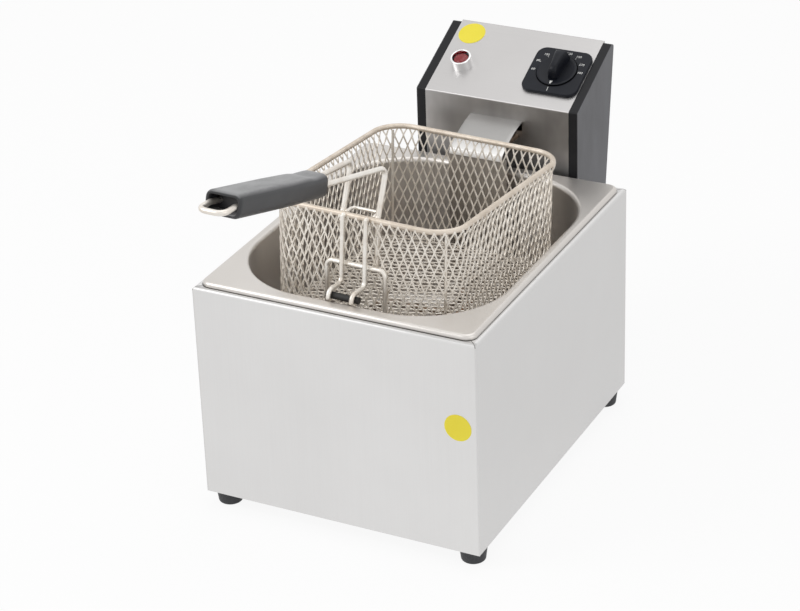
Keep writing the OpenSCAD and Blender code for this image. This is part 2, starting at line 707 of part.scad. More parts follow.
module cover_screws() {
  color("darkgray") at_cover_screws() {
    cylinder(h = 0.5 * cover_screw_d, d = 2 * cover_screw_d);
    translate([0, 0, -cover_screw_l]) cylinder(h = cover_screw_l, d = cover_screw_d);
  }
}

gland_d = 16;
gland_x = 30;
gland_y = 34;
gland_hex_h = 10;
gland_cap_h = 4;
gland_tail = 8;
module at_gland() { on_axis() translate([gland_x, face_y + gland_y, head_z + head_t + lap_gap]) children(); }

module rear_cover() {
  f = inset_outline(head_t + lap_gap);
  color("silver") difference() {
    on_axis() across(head_w) sheet_section([f[0] + [0, head_lip], f[0], f[1], f[2] - 0.5 * up_back], head_t, 1.5);
    at_cover_screws() cylinder(h = 6 * head_t, d = cover_screw_d + 2 * screw_fit, center = true);
    at_gland() cylinder(h = 6 * head_t, d = gland_d + 2 * screw_fit, center = true);
  }
}

cheek_wall = 2.5;
module cheek() {
  difference() {
    linear_extrude(cheek_t) rounded_outline(outline, [3, 3, 3.5, 2]);
    translate([0, 0, -1]) linear_extrude(cheek_t + 1 - cheek_wall) polygon(inset_outline(cheek_wall + head_t));
  }
}

module left_cheek() {
  color(black_plastic) on_axis() mirror([1, 0, 0]) translate([head_w / 2, 0, 0]) rotate([90, 0, 90]) cheek();
}

module right_cheek() {
  color(black_plastic) on_axis() translate([head_w / 2, 0, 0]) rotate([90, 0, 90]) cheek();
}

tongue_in = 5;
hanger_leg = 24;
module head_hanger() {
  tongue_y = casing_d / 2 + rail_t + seat;
  web_z = rail_z + lip_h + seat;
  color("silver") on_axis() across(rail_w - 2 * tongue_in) sheet_section([[tongue_y + tongue_t, rail_z + rail_t + 1],
    [tongue_y + tongue_t, web_z], [face_y, web_z], [face_y, web_z + hanger_leg]], tongue_t, 1.5);
}

// ---------------------------------------------------------------- element and controls

// How far the hood reaches past the element's legs, and how far its lip lies below their middle
hood_past = 10.5;
hood_below = 3.5;
hood_run = face_y - leg_y + hood_past;
hood_steps = 12;
hood_slope = [8, 33];
hood_t = 1.2;
// Gap between the hood's root on the face and the legs below it
root_gap = 1;
lip_drop = 8;
guard_w = hood_w + 6;
guard_lift = 16;
function hood_point(y) = let (r = hood_run / (sin(hood_slope[1]) - sin(hood_slope[0])),
    a = asin(y / r + sin(hood_slope[0])))
  [face_y - y, leg_z - hood_below + r * (cos(a) - cos(hood_slope[1]))];
element_z = floor_z + element_lift + element_d / 2;

module element_hood() {
  edge = hood_point(hood_run);
  color(steel) on_axis() {
    across(hood_w) sheet_section(concat([[face_y, leg_z + element_d / 2 + root_gap]],
      [for (i = [0 : hood_steps]) hood_point(hood_run * i / hood_steps)], [edge - [0, lip_drop]]), hood_t, 0);
    across(guard_w) translate([edge.x + hood_t / 2, element_z + guard_lift])
      square([hood_t, edge.y - lip_drop / 2 - element_z - guard_lift]);
  }
}

element_end = 16;
element_in = [38, 44];
element_front = -tank_half_y + element_in[0];
element_back = leg_y - element_in[1];
element_bend_r = 14;
module element_tube() {
  x = element_pitch / 2;
  w = element_w / 2;
  front = element_front;
  back = element_back;
  color("#8c857c") on_axis() bent_wire([[x, face_y + element_end, leg_z], [x, leg_y, leg_z], [x, leg_y, element_z],
    [x, back, element_z], [w, back, element_z], [w, front, element_z], [-w, front, element_z],
    [-w, back, element_z], [-x, back, element_z], [-x, leg_y, element_z], [-x, leg_y, leg_z],
    [-x, face_y + element_end, leg_z]], element_d, element_bend_r);
}

strap_t = 1.5;
strap_w = 10;
strap_in = 55;
module element_straps() {
  w = element_w + element_d + 2 * strap_t;
  z = element_z + element_d / 2;
  places = [element_front + strap_in, element_back - strap_in];
  color("silver") on_axis() for (y = places) translate([-w / 2, y - strap_w / 2, 0]) {
    translate([0, 0, z]) cube([w, strap_w, strap_t]);
    for (x = [0, w - strap_t]) translate([x, 0, z - element_d]) cube([strap_t, strap_w, element_d]);
  }
}

flange_t = 2;
flange_h = 26;
flange_margin = 17;
module element_flange() {
  color("silver") on_axis() difference() {
    translate([0, face_y + head_t + flange_t, leg_z]) rotate([90, 0, 0]) linear_extrude(flange_t)
      rounded_rect(element_pitch + 2 * flange_margin, flange_h, 4);
    translate([0, -shift_y, 0]) at_legs() cylinder(h = 12, d = element_d + 2 * screw_fit, center = true);
    translate([0, face_y, leg_z]) rotate([90, 0, 0]) cylinder(h = 12, d = 2 * capillary_d, center = true);
  }
}

module element_terminals() {
  color("white") at_legs() translate([0, 0, element_end]) {
    cylinder(h = 6, d = element_d - 1);
    cylinder(h = 18, d = 3.2);
    translate([0, 0, 10]) cylinder(h = 2.4, d = 7, $fn = 6);
  }
}

neck_d = 10;
shaft_d = 6;
dial_screw_x = 14;
dial_screw_d = 3;
dial_floor = 1.2;
thermostat_w = 36;
thermostat_h = 24;
module thermostat_body() {
  bracket_t = 1.5;
  color("whitesmoke") on_slope(dial_x, dial_s) difference() {
    union() {
      translate([0, 0, -head_t - bracket_t]) linear_extrude(bracket_t) rounded_rect(thermostat_w, thermostat_w, 3);
      translate([0, 0, -head_t - bracket_t - thermostat_h]) linear_extrude(thermostat_h)
        rounded_rect(thermostat_w - 16, thermostat_w - 2, 2);
      translate([0, 0, -head_t - bracket_t]) cylinder(h = head_t + bracket_t + dial_floor, d = neck_d);
    }
    translate([0, 0, -16]) cylinder(h = 20, d = shaft_d + 2 * shaft_fit);
    for (s = [-1, 1]) translate([s * dial_screw_x, 0, -5]) cylinder(h = 6, d = dial_screw_d + 2 * screw_fit);
  }
}

module dial_screws() {
  color("darkgray") on_slope(dial_x, dial_s) for (s = [-1, 1]) translate([s * dial_screw_x, 0, dial_floor]) {
    cylinder(h = 1.5, d = 1.8 * dial_screw_d);
    translate([0, 0, -6]) cylinder(h = 6, d = dial_screw_d);
  }
}

bulb_d = 6;
bulb_l = 100;
bulb_in = 28;
capillary_in = 24;
module thermostat_bulb() {
  z = element_z + element_d / 2 + strap_t + bulb_d / 2 + 0.1;
  d = capillary_d;
  exit = [dial_x - 6, face_y + dial_s * cos(slope_angle) + (thermostat_h + 4) * sin(slope_angle),
    bend_z + dial_s * sin(slope_angle) - (thermostat_h + 4) * cos(slope_angle)];
  color("#b87333") on_axis() {
    swept_wire([exit, exit - [10, 6, 14], [0, face_y + capillary_in, leg_z], [0, leg_y, leg_z], [0, leg_y, z],
      [0, leg_y - bulb_in, z]], d, 7);
    translate([0, leg_y - bulb_in - seat, z]) rotate([90, 0, 0]) cylinder(h = bulb_l, d = bulb_d);
  }
}

cutout_x = 42;
cutout_y = 32;
cutout_base = [44, 26];
cutout_d = 24;
cutout_h = 16;
module safety_cutout() {
  color("#4a4038") on_axis() translate([-cutout_x, face_y + cutout_y, head_z + 2 * head_t + lap_gap]) {
    linear_extrude(3) rounded_rect(cutout_base[0], cutout_base[1], 4);
    cylinder(h = cutout_h, d = cutout_d);
    translate([0, 0, cutout_h]) cylinder(h = 4, d = cutout_d / 3);
    for (s = [-1, 1]) translate([7 * s - 0.4, -3, cutout_h]) cube([0.8, 6, 8]);
  }
}

ways = 3;
way = 11;
block_x = -16;
block_y = 12;
module terminal_block() {
  color("ivory") on_axis() translate([block_x, face_y + block_y, head_z + 2 * head_t + lap_gap]) difference() {
    cube([ways * way, 18, 16]);
    for (i = [0 : ways - 1]) translate([(i + 0.5) * way, 0, 0]) {
      for (y = [5, 13]) translate([0, y, 10]) cylinder(h = 7, d = 4);
      translate([0, -1, 8]) rotate([-90, 0, 0]) cylinder(h = 20, d = 3.4);
    }
  }
}

cable_d = 8;
module cable_gland() {
  hex_d = 1.4 * gland_d;
  drop = gland_hex_h + gland_cap_h;
  color("#2a2a2c") at_gland() difference() {
    union() {
      translate([0, 0, head_t]) cylinder(h = 4, d = hex_d, $fn = 6);
      translate([0, 0, -1]) cylinder(h = 1 + head_t + gland_tail, d = gland_d);
      translate([0, 0, -gland_hex_h]) cylinder(h = gland_hex_h, d = hex_d, $fn = 6);
      translate([0, 0, -drop]) cylinder(h = gland_cap_h + 1, d = 1.1 * gland_d);
    }
    translate([0, 0, -drop - 1]) cylinder(h = drop + head_t + gland_tail + 2, d = cable_d);
  }
}

recess_gap = 0.8;
module dial_plate() {
  half = dial_w / 2;
  r = 10;
  edge = 1.2;
  color(black_plastic) on_slope(dial_x, dial_s) difference() {
    union() {
      carried_round(half, half, r) {
        square([r, dial_t - edge]);
        translate([0, dial_t - edge]) square([r - edge, edge]);
        translate([r - edge, dial_t - edge]) circle(r = edge);
      }
      linear_extrude(dial_t) square([dial_w - 2 * r, dial_w - 2 * r], center = true);
    }
    translate([0, 0, dial_floor]) cylinder(h = dial_t, d = knob_d + 2 * recess_gap);
    translate([0, 0, -1]) cylinder(h = dial_t + 2, d = neck_d + 2 * screw_fit);
    for (s = [-1, 1]) translate([s * dial_screw_x, 0, -1]) cylinder(h = 4, d = dial_screw_d + 2 * screw_fit);
  }
}

knob_z = dial_floor + 2;
knob_disc = dial_t + 2;
shaft_top = dial_t + knob_h - 3;
module control_knob() {
  bar_w = 10.5;
  bar_l = knob_d - 5;
  bar_h = knob_h + dial_t - knob_disc;
  color(black_plastic) on_slope(dial_x, dial_s) difference() {
    union() {
      translate([0, 0, knob_z]) rotate_extrude($fn = 96)
        rounded_outline([[0, 0], [knob_d / 2, 0], [knob_d / 2, knob_disc - knob_z], [0, knob_disc - knob_z]],
          [0, 0, 0.8, 0]);
      translate([0, 0, dial_floor + seat]) cylinder(h = knob_z - dial_floor - seat, d = neck_d + 3);
      translate([0, bar_l / 2, knob_disc]) rotate([90, 0, 0]) linear_extrude(bar_l)
        rounded_outline([[-bar_w / 2, 0], [bar_w / 2, 0], [bar_w / 2 - 1.8, bar_h], [1.8 - bar_w / 2, bar_h]],
          [0, 0, 1.5, 1.5]);
    }
    translate([0, 0, dial_floor]) cylinder(h = shaft_top + seat - dial_floor, d = shaft_d + 2 * shaft_fit);
  }
}

module knob_shaft() {
  color("darkgray") on_slope(dial_x, dial_s) translate([0, 0, -15]) cylinder(h = 15 + shaft_top, d = shaft_d);
}

lamp_wall = 2;
lamp_neck_d = lamp_d - 2 * lamp_wall - 0.6;
lens_t = 3;
module lamp_bezel() {
  color("#e4e4e4") on_slope(-lamp_x, lamp_s) rotate_extrude($fn = 96)
    rounded_outline([[lamp_d / 2 - lamp_wall, 0], [lamp_d / 2, 0], [lamp_d / 2, lamp_h],
      [lamp_d / 2 - lamp_wall, lamp_h]], [0, 0, 0.8, 0.6]);
}

module lamp_lens() {
  color("darkred") on_slope(-lamp_x, lamp_s) translate([0, 0, lamp_h - lens_t - 1.6])
    cylinder(h = lens_t, d = lamp_neck_d);
}

lamp_depth = 26;
lamp_tag_l = 9;
module lamp_body() {
  color("#303030") on_slope(-lamp_x, lamp_s) {
    translate([0, 0, -lamp_depth]) cylinder(h = lamp_depth + lamp_h - lens_t - 1.6, d = lamp_neck_d);
    translate([0, 0, -head_t - 4]) cylinder(h = 4, d = lamp_d + 2, $fn = 6);
    for (s = [-1, 1]) translate([3 * s - 0.4, -2.4, 1 - lamp_depth - lamp_tag_l]) cube([0.8, 4.8, lamp_tag_l]);
  }
}

outer_casing();
base_plate();
rubber_feet();
foot_screws();
hanger_rail();
rail_screws();
oil_pan();
basket_rim();
mesh_front();
mesh_back();
mesh_left();
mesh_right();
mesh_corners();
mesh_floor();
seam_wires();
hook_wires();
hook_sleeve();
brace_wire();
keeper_wire();
handle_wire();
handle_grip();
front_panel();
rear_cover();
left_cheek();
right_cheek();
cover_screws();
head_hanger();
element_hood();
element_tube();
element_straps();
element_flange();
element_terminals();
thermostat_body();
thermostat_bulb();
safety_cutout();
terminal_block();
cable_gland();
dial_plate();
dial_screws();
lamp_bezel();
lamp_lens();
lamp_body();
control_knob();
knob_shaft();
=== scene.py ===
# %% [markdown]
# # A countertop deep fryer
#
# The fryer is a folded steel casing with a lift-out oil pan, a basket of expanded metal that hangs
# on the pan's front edge to drain, and a control head behind with the dial, the lamp and the
# heating element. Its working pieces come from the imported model. This file gives each of them its
# finish, and models the pieces that a workshop would make from wire, mesh and moulded plastic.

# %% Load the model
import math

import bmesh
import bpy
from mathutils import Matrix, Vector


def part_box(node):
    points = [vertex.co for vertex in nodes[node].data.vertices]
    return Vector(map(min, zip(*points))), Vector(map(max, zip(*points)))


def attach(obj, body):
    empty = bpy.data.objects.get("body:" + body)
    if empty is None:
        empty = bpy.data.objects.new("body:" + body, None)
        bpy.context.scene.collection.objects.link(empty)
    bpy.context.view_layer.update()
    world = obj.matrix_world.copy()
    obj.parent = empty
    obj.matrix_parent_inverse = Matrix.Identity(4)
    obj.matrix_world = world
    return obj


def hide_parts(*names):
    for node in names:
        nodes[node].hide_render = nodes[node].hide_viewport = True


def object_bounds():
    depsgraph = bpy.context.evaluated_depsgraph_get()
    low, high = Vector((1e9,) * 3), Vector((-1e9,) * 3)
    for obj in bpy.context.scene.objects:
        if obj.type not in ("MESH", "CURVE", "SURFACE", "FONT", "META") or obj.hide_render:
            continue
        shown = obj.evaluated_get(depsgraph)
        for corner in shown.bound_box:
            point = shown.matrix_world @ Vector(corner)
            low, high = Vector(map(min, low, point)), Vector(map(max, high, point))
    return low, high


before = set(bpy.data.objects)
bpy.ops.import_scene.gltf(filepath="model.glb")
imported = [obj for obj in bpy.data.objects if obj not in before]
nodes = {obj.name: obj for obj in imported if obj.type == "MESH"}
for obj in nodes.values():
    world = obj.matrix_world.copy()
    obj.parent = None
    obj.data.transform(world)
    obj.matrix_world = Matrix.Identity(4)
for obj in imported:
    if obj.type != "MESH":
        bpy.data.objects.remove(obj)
cad_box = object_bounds()
MM = 0.001
print("nodes", len(nodes), "box in mm", [round(c / MM) for c in (cad_box[1] - cad_box[0])])

# %% [markdown]
# The casing is the piece that everything is measured from, and the camera aims from its middle. The
# camera stands well back with a long lens, so the box keeps its square look.

# %% Casing reference and camera
casing_lo, casing_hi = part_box("outer_casing")
casing_mid = Vector(((casing_lo.x + casing_hi.x) / 2, (casing_lo.y + casing_hi.y) / 2, casing_lo.z))


def link(obj):
    """Puts a new object into the scene, and returns it."""
    bpy.context.scene.collection.objects.link(obj)
    return obj


def add_camera(azimuth, elevation, roll, distance, aim, lens):
    """A camera looking at the point aim, turned round its own axis by roll."""
    a, e, r = (math.radians(v) for v in (azimuth, elevation, roll))
    back = Vector((math.sin(a) * math.cos(e), -math.cos(a) * math.cos(e), math.sin(e)))
    level = Vector((math.cos(a), math.sin(a), 0))
    up = back.cross(level)
    right = math.cos(r) * level + math.sin(r) * up
    up = math.cos(r) * up - math.sin(r) * level
    camera = link(bpy.data.objects.new("camera", bpy.data.cameras.new("camera")))
    turn = Matrix((right, up, back)).transposed().to_4x4()
    camera.matrix_world = Matrix.Translation(aim + distance * back) @ turn
    camera.data.lens = lens
    camera.data.sensor_width = 36
    camera.data.clip_end = 20
    bpy.context.scene.camera = camera
    return camera


camera = add_camera(
    azimuth=27.424,
    elevation=27.722,
    roll=-2.071,
    distance=2.4185,
    aim=casing_mid + Vector((-18.9, 0, 134.1)) * MM,
    lens=118.07,
)
print("camera at", [round(c, 3) for c in camera.location])

# %% [markdown]
# Shader maths reads best as plain expressions. The class wraps a node's output so that
# `1 - mask * 0.5` adds the Math nodes it stands for. One function adds any other node.

# %% Sockets that do arithmetic


class Socket:
    """A node's output that can be used in arithmetic."""

    def __init__(self, tree, socket):
        self.tree = tree
        self.socket = socket

    def outputs(self, *names):
        """Other outputs of the node that this one comes from."""
        return [Socket(self.tree, self.socket.node.outputs[name]) for name in names]

    def math(self, operation, *others):
        """A Math node whose first value is this one."""
        values = dict(enumerate((self, *others)))
        return add_node(self.tree, "ShaderNodeMath", {"operation": operation}, values)

    def __abs__(self):
        return self.math("ABSOLUTE")

    def __add__(self, other):
        return self.math("ADD", other)

    __radd__ = __add__

    def __mul__(self, other):
        return self.math("MULTIPLY", other)

    __rmul__ = __mul__

    def __sub__(self, other):
        return self.math("SUBTRACT", other)

    def __rsub__(self, other):
        return add_node(self.tree, "ShaderNodeMath", {"operation": "SUBTRACT"}, {0: other, 1: self})

    def between(self, low, high):
        """0 below low, 1 above high, and a straight ramp between them."""
        values = {"Value": self, "From Min": low, "From Max": high}
        return add_node(self.tree, "ShaderNodeMapRange", {"clamp": True}, values)


def add_node(tree, kind, settings=None, inputs=None, output=0):
    """Adds a node, sets it, fills its sockets with values or links, and wraps one output."""
    node = tree.nodes.new(kind)
    for name, value in (settings or {}).items():
        if name == "stops":
            ramp = node.color_ramp.elements
            while len(ramp) < len(value):
                ramp.new(0.5)
            for stop, (position, colour) in zip(ramp, value):
                stop.position = position
                stop.color = (*colour, 1)
        else:
            setattr(node, name, value)
    for name, value in (inputs or {}).items():
        if isinstance(value, Socket):
            tree.links.new(value.socket, node.inputs[name])
        else:
            node.inputs[name].default_value = value
    return Socket(tree, node.outputs[output])


def feed(node, name, socket):
    """Links a wrapped socket to one of a node's inputs."""
    socket.tree.links.new(socket.socket, node.inputs[name])


print("socket maths ready")

# %% [markdown]
# Every finish starts from the same few steps: one shader, noise, a blend of two colours and a bump.
# Patterns read Object coordinates, so they stay with a piece when it moves.

# %% Steps that all finishes share


def new_material(name, roughness=0.5, metallic=0.0, specular=0.5):
    """A material with one Principled shader. Returns it, its tree and the shader."""
    material = bpy.data.materials.new(name)
    material.use_nodes = True
    tree = material.node_tree
    shader = tree.nodes["Principled BSDF"]
    shader.inputs["Roughness"].default_value = roughness
    shader.inputs["Metallic"].default_value = metallic
    shader.inputs["Specular IOR Level"].default_value = specular
    return material, tree, shader


def object_place(tree):
    """The place on the piece, as one vector in metres."""
    return add_node(tree, "ShaderNodeTexCoord", output="Object")


def axes(tree):
    """The three object coordinates, in metres."""
    return add_node(tree, "ShaderNodeSeparateXYZ", inputs={0: object_place(tree)}).outputs("X", "Y", "Z")


def noise(tree, scale, detail, rough, stretch=(1, 1, 1)):
    """Fractal noise as a value near 0.5, with scale waves to the metre before the stretch."""
    where = add_node(tree, "ShaderNodeMapping", inputs={"Vector": object_place(tree), "Scale": stretch})
    values = {"Vector": where, "Scale": scale, "Detail": detail, "Roughness": rough}
    return add_node(tree, "ShaderNodeTexNoise", inputs=values)


def blend_colour(tree, factor, first, second):
    """A colour from first to second as factor goes from 0 to 1."""
    first, second = (c if isinstance(c, Socket) else (*c, 1) for c in (first, second))
    return add_node(tree, "ShaderNodeMix", {"data_type": "RGBA"}, {0: factor, 6: first, 7: second}, output=2)


def bump(tree, shader, height, distance):
    """Raises the surface by height, where a height of 1 stands for distance metres."""
    values = {"Height": height, "Distance": distance, "Strength": 1.0}
    feed(shader, "Normal", add_node(tree, "ShaderNodeBump", inputs=values))


print("finish helpers ready")

# %% [markdown]
# The studio is white all round. The sky and the floor are brighter to the camera and in reflections
# than they are as lights, so the background comes out white while the metal keeps its tones. The
# floor is one large sheet under the feet, and still takes a faint shadow.

# %% Floor and sky
FLOOR_GAP = 0.2 * MM
FLOOR_GLOW = 0.9
SKY_AS_LIGHT = 0.55


def seen(tree):
    """1 for rays from the camera, off metal or through glass, and 0 for light that is scattered."""
    camera_ray = add_node(tree, "ShaderNodeLightPath", output="Is Camera Ray")
    glossy_ray, glass_ray = camera_ray.outputs("Is Glossy Ray", "Is Transmission Ray")
    return (camera_ray + glossy_ray + glass_ray).math("MINIMUM", 1.0)


mesh = bpy.data.meshes.new("floor")
bm = bmesh.new()
bmesh.ops.create_grid(bm, x_segments=1, y_segments=1, size=8)
bmesh.ops.translate(bm, verts=bm.verts[:], vec=(0, 0, cad_box[0].z - FLOOR_GAP))
bm.to_mesh(mesh)
bm.free()
material, tree, shader = new_material("floor", roughness=0.9, specular=0.1)
shader.inputs["Base Color"].default_value = (0.95, 0.95, 0.95, 1)
pale = Socket(tree, shader.outputs["BSDF"])
glow = add_node(tree, "ShaderNodeEmission", inputs={"Strength": 1.0})
mix = add_node(tree, "ShaderNodeMixShader", inputs={0: seen(tree) * FLOOR_GLOW, 1: pale, 2: glow})
feed(tree.nodes["Material Output"], "Surface", mix)
mesh.materials.append(material)
link(bpy.data.objects.new("floor", mesh))

world = bpy.data.worlds.new("studio")
bpy.context.scene.world = world
world.use_nodes = True
sky = world.node_tree.nodes["Background"]
sky.inputs["Color"].default_value = (1, 1, 1, 1)
feed(sky, "Strength", seen(world.node_tree) * (1 - SKY_AS_LIGHT) + SKY_AS_LIGHT)
print("floor at", round(cad_box[0].z - FLOOR_GAP, 4), "sky as light", SKY_AS_LIGHT)

# %% [markdown]
# Three large area lights give steel its broad soft highlights: the key in front on the left, a weak
# fill on the right, and one high up behind.

# %% Lights


def soft_light(name, power, size, place_at, aim):
    """A square area light at a point, turned to face another."""
    lamp = bpy.data.lights.new(name, "AREA")
    lamp.energy = power
    lamp.size = size
    light = link(bpy.data.objects.new(name, lamp))
    light.location = place_at
    light.rotation_mode = "QUATERNION"
    light.rotation_quaternion = (Vector(place_at) - aim).to_track_quat("Z", "Y")


light_aim = casing_mid + Vector((0, 0, 120)) * MM
soft_light("key_light", 19, 1.2, (-1.5, -1.3, 1.9), light_aim)
soft_light("fill_light", 4, 1.4, (1.9, -0.6, 1.2), light_aim)
soft_light("top_light", 7, 1.6, (0.1, 0.6, 2.2), light_aim)
bpy.context.scene.view_settings.view_transform = "Standard"
print("lights", len(bpy.data.lights))

# %% [markdown]
# ## Where things are
# Two leaning frames save many sums. The basket's has its origin in the middle of its front rim wire
# and leans as the basket does. The panel's has its origin on the head's bend, with z out of the
# steel, so the dial and the lamp need only a place across and up the panel.

# %% Frames of the basket, the panel, the dial and the lamp
CASING_Y = round(casing_mid.y / MM, 4)
FACE_Y = round(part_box("front_panel")[0].y / MM, 4)  # the face under the head's bend
BEND_Z = 287.5
PANEL_LEAN = 24.4
DIAL_X, DIAL_UP = 45.5, 45.5
LAMP_X, LAMP_UP = -51.4, 38.8
PLATE_TOP = 3.6  # the dial plate's face above the panel


def turned(axis, degrees):
    """A turn about one of the axes."""
    return Matrix.Rotation(math.radians(degrees), 4, axis)


def moved(x, y, z):
    """A shift given in millimetres."""
    return Matrix.Translation(Vector((x, y, z)) * MM)


BASKET = moved(2, CASING_Y - 113.866, 295.072) @ turned("Z", -2.5) @ turned("X", -4)
PANEL = moved(0, FACE_Y, BEND_Z) @ turned("X", PANEL_LEAN)
AT_DIAL = PANEL @ moved(DIAL_X, DIAL_UP, 0)
AT_LAMP = PANEL @ moved(LAMP_X, LAMP_UP, 0)
print("dial at", [round(c, 3) for c in AT_DIAL.translation])

# %% [markdown]
# ## Finishes
# The casing, the hood and the panel are cut from brushed stainless sheet. The brush leaves long fine
# scratches in one direction, which spread highlights across the grain, and handling leaves faint
# cloudy patches. Both are built from noise, stretched for the scratches and round for the patches.

# %% Brushed steel
# The dark that painted shade, the head's frying stains and the casing's open mitres blend towards.
SHADE_AND_FILM_DARK = (0.05, 0.046, 0.042)


def sheet_steel(name, colour, dark, grain, roughness, cloud=0.05, relief=0.00003, shade=None):
    """Brushed sheet. The smallest number of grain is the scratches' way. shade is a mask that darkens,
    mostly painted shade.
    """
    material, tree, shader = new_material(name, metallic=1.0)
    scratches = noise(tree, 900, 3, 0.6, grain)
    patches = noise(tree, 9, 3, 0.55)
    tone = (scratches - 0.5) * 0.5 + (patches - 0.5) * 0.9 + 0.5
    base = blend_colour(tree, tone, dark, colour)
    if shade:
        base = blend_colour(tree, shade(tree), base, SHADE_AND_FILM_DARK)
    feed(shader, "Base Color", base)
    feed(shader, "Roughness", scratches * 0.12 + patches * (cloud * 2) + (roughness - 0.06 - cloud))
    bump(tree, shader, scratches, relief)
    return material


plate_steel = sheet_steel("plate_steel", (0.55, 0.55, 0.55), (0.45, 0.45, 0.45), (0.02, 1, 1), 0.5)
bright_steel = sheet_steel("fastener_steel", (0.60, 0.60, 0.60), (0.5, 0.5, 0.5), (1, 1, 1), 0.3)
polished = sheet_steel(
    "lamp_chrome", (0.9, 0.9, 0.9), (0.8, 0.8, 0.8), (1, 1, 1), 0.1, cloud=0.01, relief=0.000002
)
pan_steel = sheet_steel(
    "pan_steel", (0.71, 0.685, 0.66), (0.58, 0.55, 0.515), (1, 1, 0.03), 0.40, cloud=0.07
)
guard_steel = sheet_steel(
    "guard_steel", (0.46, 0.43, 0.395), (0.33, 0.30, 0.27), (1, 1, 0.03), 0.42, cloud=0.07
)
print("five plain steels")

# %% [markdown]
# The pan's edge leaves a gap under a millimetre wide on the casing's ledge, darkened with a painted shadow,
# and the folded corners end in open mitres. Lines so thin look best as shading: each is a mask that falls
# off with the distance from it. Painted shade also dims the highlight on the front fold and darkens the
# sides.

# %% Casing steel
pan_lo, pan_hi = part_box("oil_pan")
PAN_HALF_X = (pan_hi.x - pan_lo.x) / 2
PAN_HALF_Y = (pan_hi.y - pan_lo.y) / 2
PAN_CORNER = 10 * MM


def near_top(z, depth, fade):
    """A mask by height: 0 at depth under the casing's top, 1 at fade under it (mm)."""
    return z.between(casing_hi.z - depth * MM, casing_hi.z - fade * MM)


def pan_gap_shadow(x, y, z):
    """Painted shadow just outside the pan's edge, strongest at the front."""
    beyond_x = (abs(x) - (PAN_HALF_X - PAN_CORNER)).math("MAXIMUM", 0.0)
    beyond_y = (abs(y - casing_mid.y) - (PAN_HALF_Y - PAN_CORNER)).math("MAXIMUM", 0.0)
    out = (beyond_x * beyond_x + beyond_y * beyond_y).math("SQRT") - PAN_CORNER
    front = 1 - y.between(casing_lo.y + 6 * MM, casing_lo.y + 14 * MM)
    return (1 - out.between(0.6 * MM, 1.3 * MM)) * near_top(z, 0.8, 0.3) * (front * 0.65 + 0.3)


def open_mitres(x, y, z):
    """The joints at the folded corners, which run at 45 degrees from each corner."""
    from_side = abs(abs(x) - casing_hi.x)
    from_end = abs(abs(y - casing_mid.y) - (casing_hi.y - casing_mid.y))
    joint = 1 - abs(from_side - from_end).between(0.3 * MM, 0.7 * MM)
    return joint * near_top(z, 3.0, 2.4) * 0.85


def front_fold_shade(x, y, z):
    """Painted shade that dims the highlight on the fold along the casing's top front edge."""
    at_front = 1 - y.between(casing_lo.y + 4 * MM, casing_lo.y + 6 * MM)
    return at_front * near_top(z, 2.2, 0.6) * 0.30


def side_shade(x, y, z):
    """Painted shade on the casing's two sides, which face away from the light."""
    return abs(x).between(casing_hi.x - 1.5 * MM, casing_hi.x - 0.5 * MM) * 0.075


def casing_shade(tree):
    """The strongest of the casing's four masks: three of painted shade, and the dark mitres."""
    place_at = axes(tree)
    shade = pan_gap_shadow(*place_at)
    for mask in (open_mitres, front_fold_shade, side_shade):
        shade = shade.math("MAXIMUM", mask(*place_at))
    return shade


casing_steel = sheet_steel(
    "casing_steel", (0.765, 0.760, 0.754), (0.682, 0.674, 0.669), (1, 1, 0.012), 0.44, shade=casing_shade
)
print("ledge gap round a pan of", round(PAN_HALF_X * 2 / MM), "by", round(PAN_HALF_Y * 2 / MM), "mm")

# %% [markdown]
# The face under the head's bend is darkened with painted shade, and more in blotches of frying stain. The
# hood carries painted shade near its root that fades out towards its lip, standing in for how its curve
# reflects the light.

# %% Head and hood steel


def under_bend(tree):
    """Painted shade on the upright face, deeper in blotches of frying stain, ending just below the bend."""
    blotch = noise(tree, 20, 3, 0.6, (1, 1, 0.6))
    # An even painted shade of 0.08, and up to 0.32 more in stain blotches.
    shade_and_film = blotch.between(0.38, 0.66) * 0.32 + 0.08
    _, _, z = axes(tree)
    return (1 - z.between((BEND_Z - 1.5) * MM, (BEND_Z - 0.5) * MM)) * shade_and_film


def hood_root(tree):
    """Painted shade on the hood, deepest within 30 mm of the face and gone at 46 mm."""
    _, y, _ = axes(tree)
    return y.between((FACE_Y - 46) * MM, (FACE_Y - 30) * MM) * 0.55


panel_steel = sheet_steel(
    "panel_steel", (0.54, 0.528, 0.524), (0.46, 0.45, 0.445), (0.012, 1, 1), 0.42, shade=under_bend
)
hood_steel = sheet_steel(
    "hood_steel", (0.80, 0.79, 0.775), (0.68, 0.67, 0.655), (1, 0.02, 1), 0.40, shade=hood_root
)
print("panel and hood steels")

# %% [markdown]
# The basket, its wires and the thermostat's bulb are plated. Nickel is warmer than steel, and takes
# a straw tint where the wires were welded, so its colour drifts between a pale and a deeper tone.

# %% Nickel and copper


def nickel_wire(name, colour, dark, satin=0.36, metallic=0.85):
    """Satin plating with a tint that drifts over some 20 mm."""
    material, tree, shader = new_material(name, metallic=metallic)
    tint = noise(tree, 60, 3, 0.6)
    fine = noise(tree, 900, 2, 0.5)
    feed(shader, "Base Color", blend_colour(tree, tint.between(0.35, 0.62), dark, colour))
    feed(shader, "Roughness", tint * 0.14 + fine * 0.08 + (satin - 0.06))
    bump(tree, shader, fine, 0.00004)
    return material


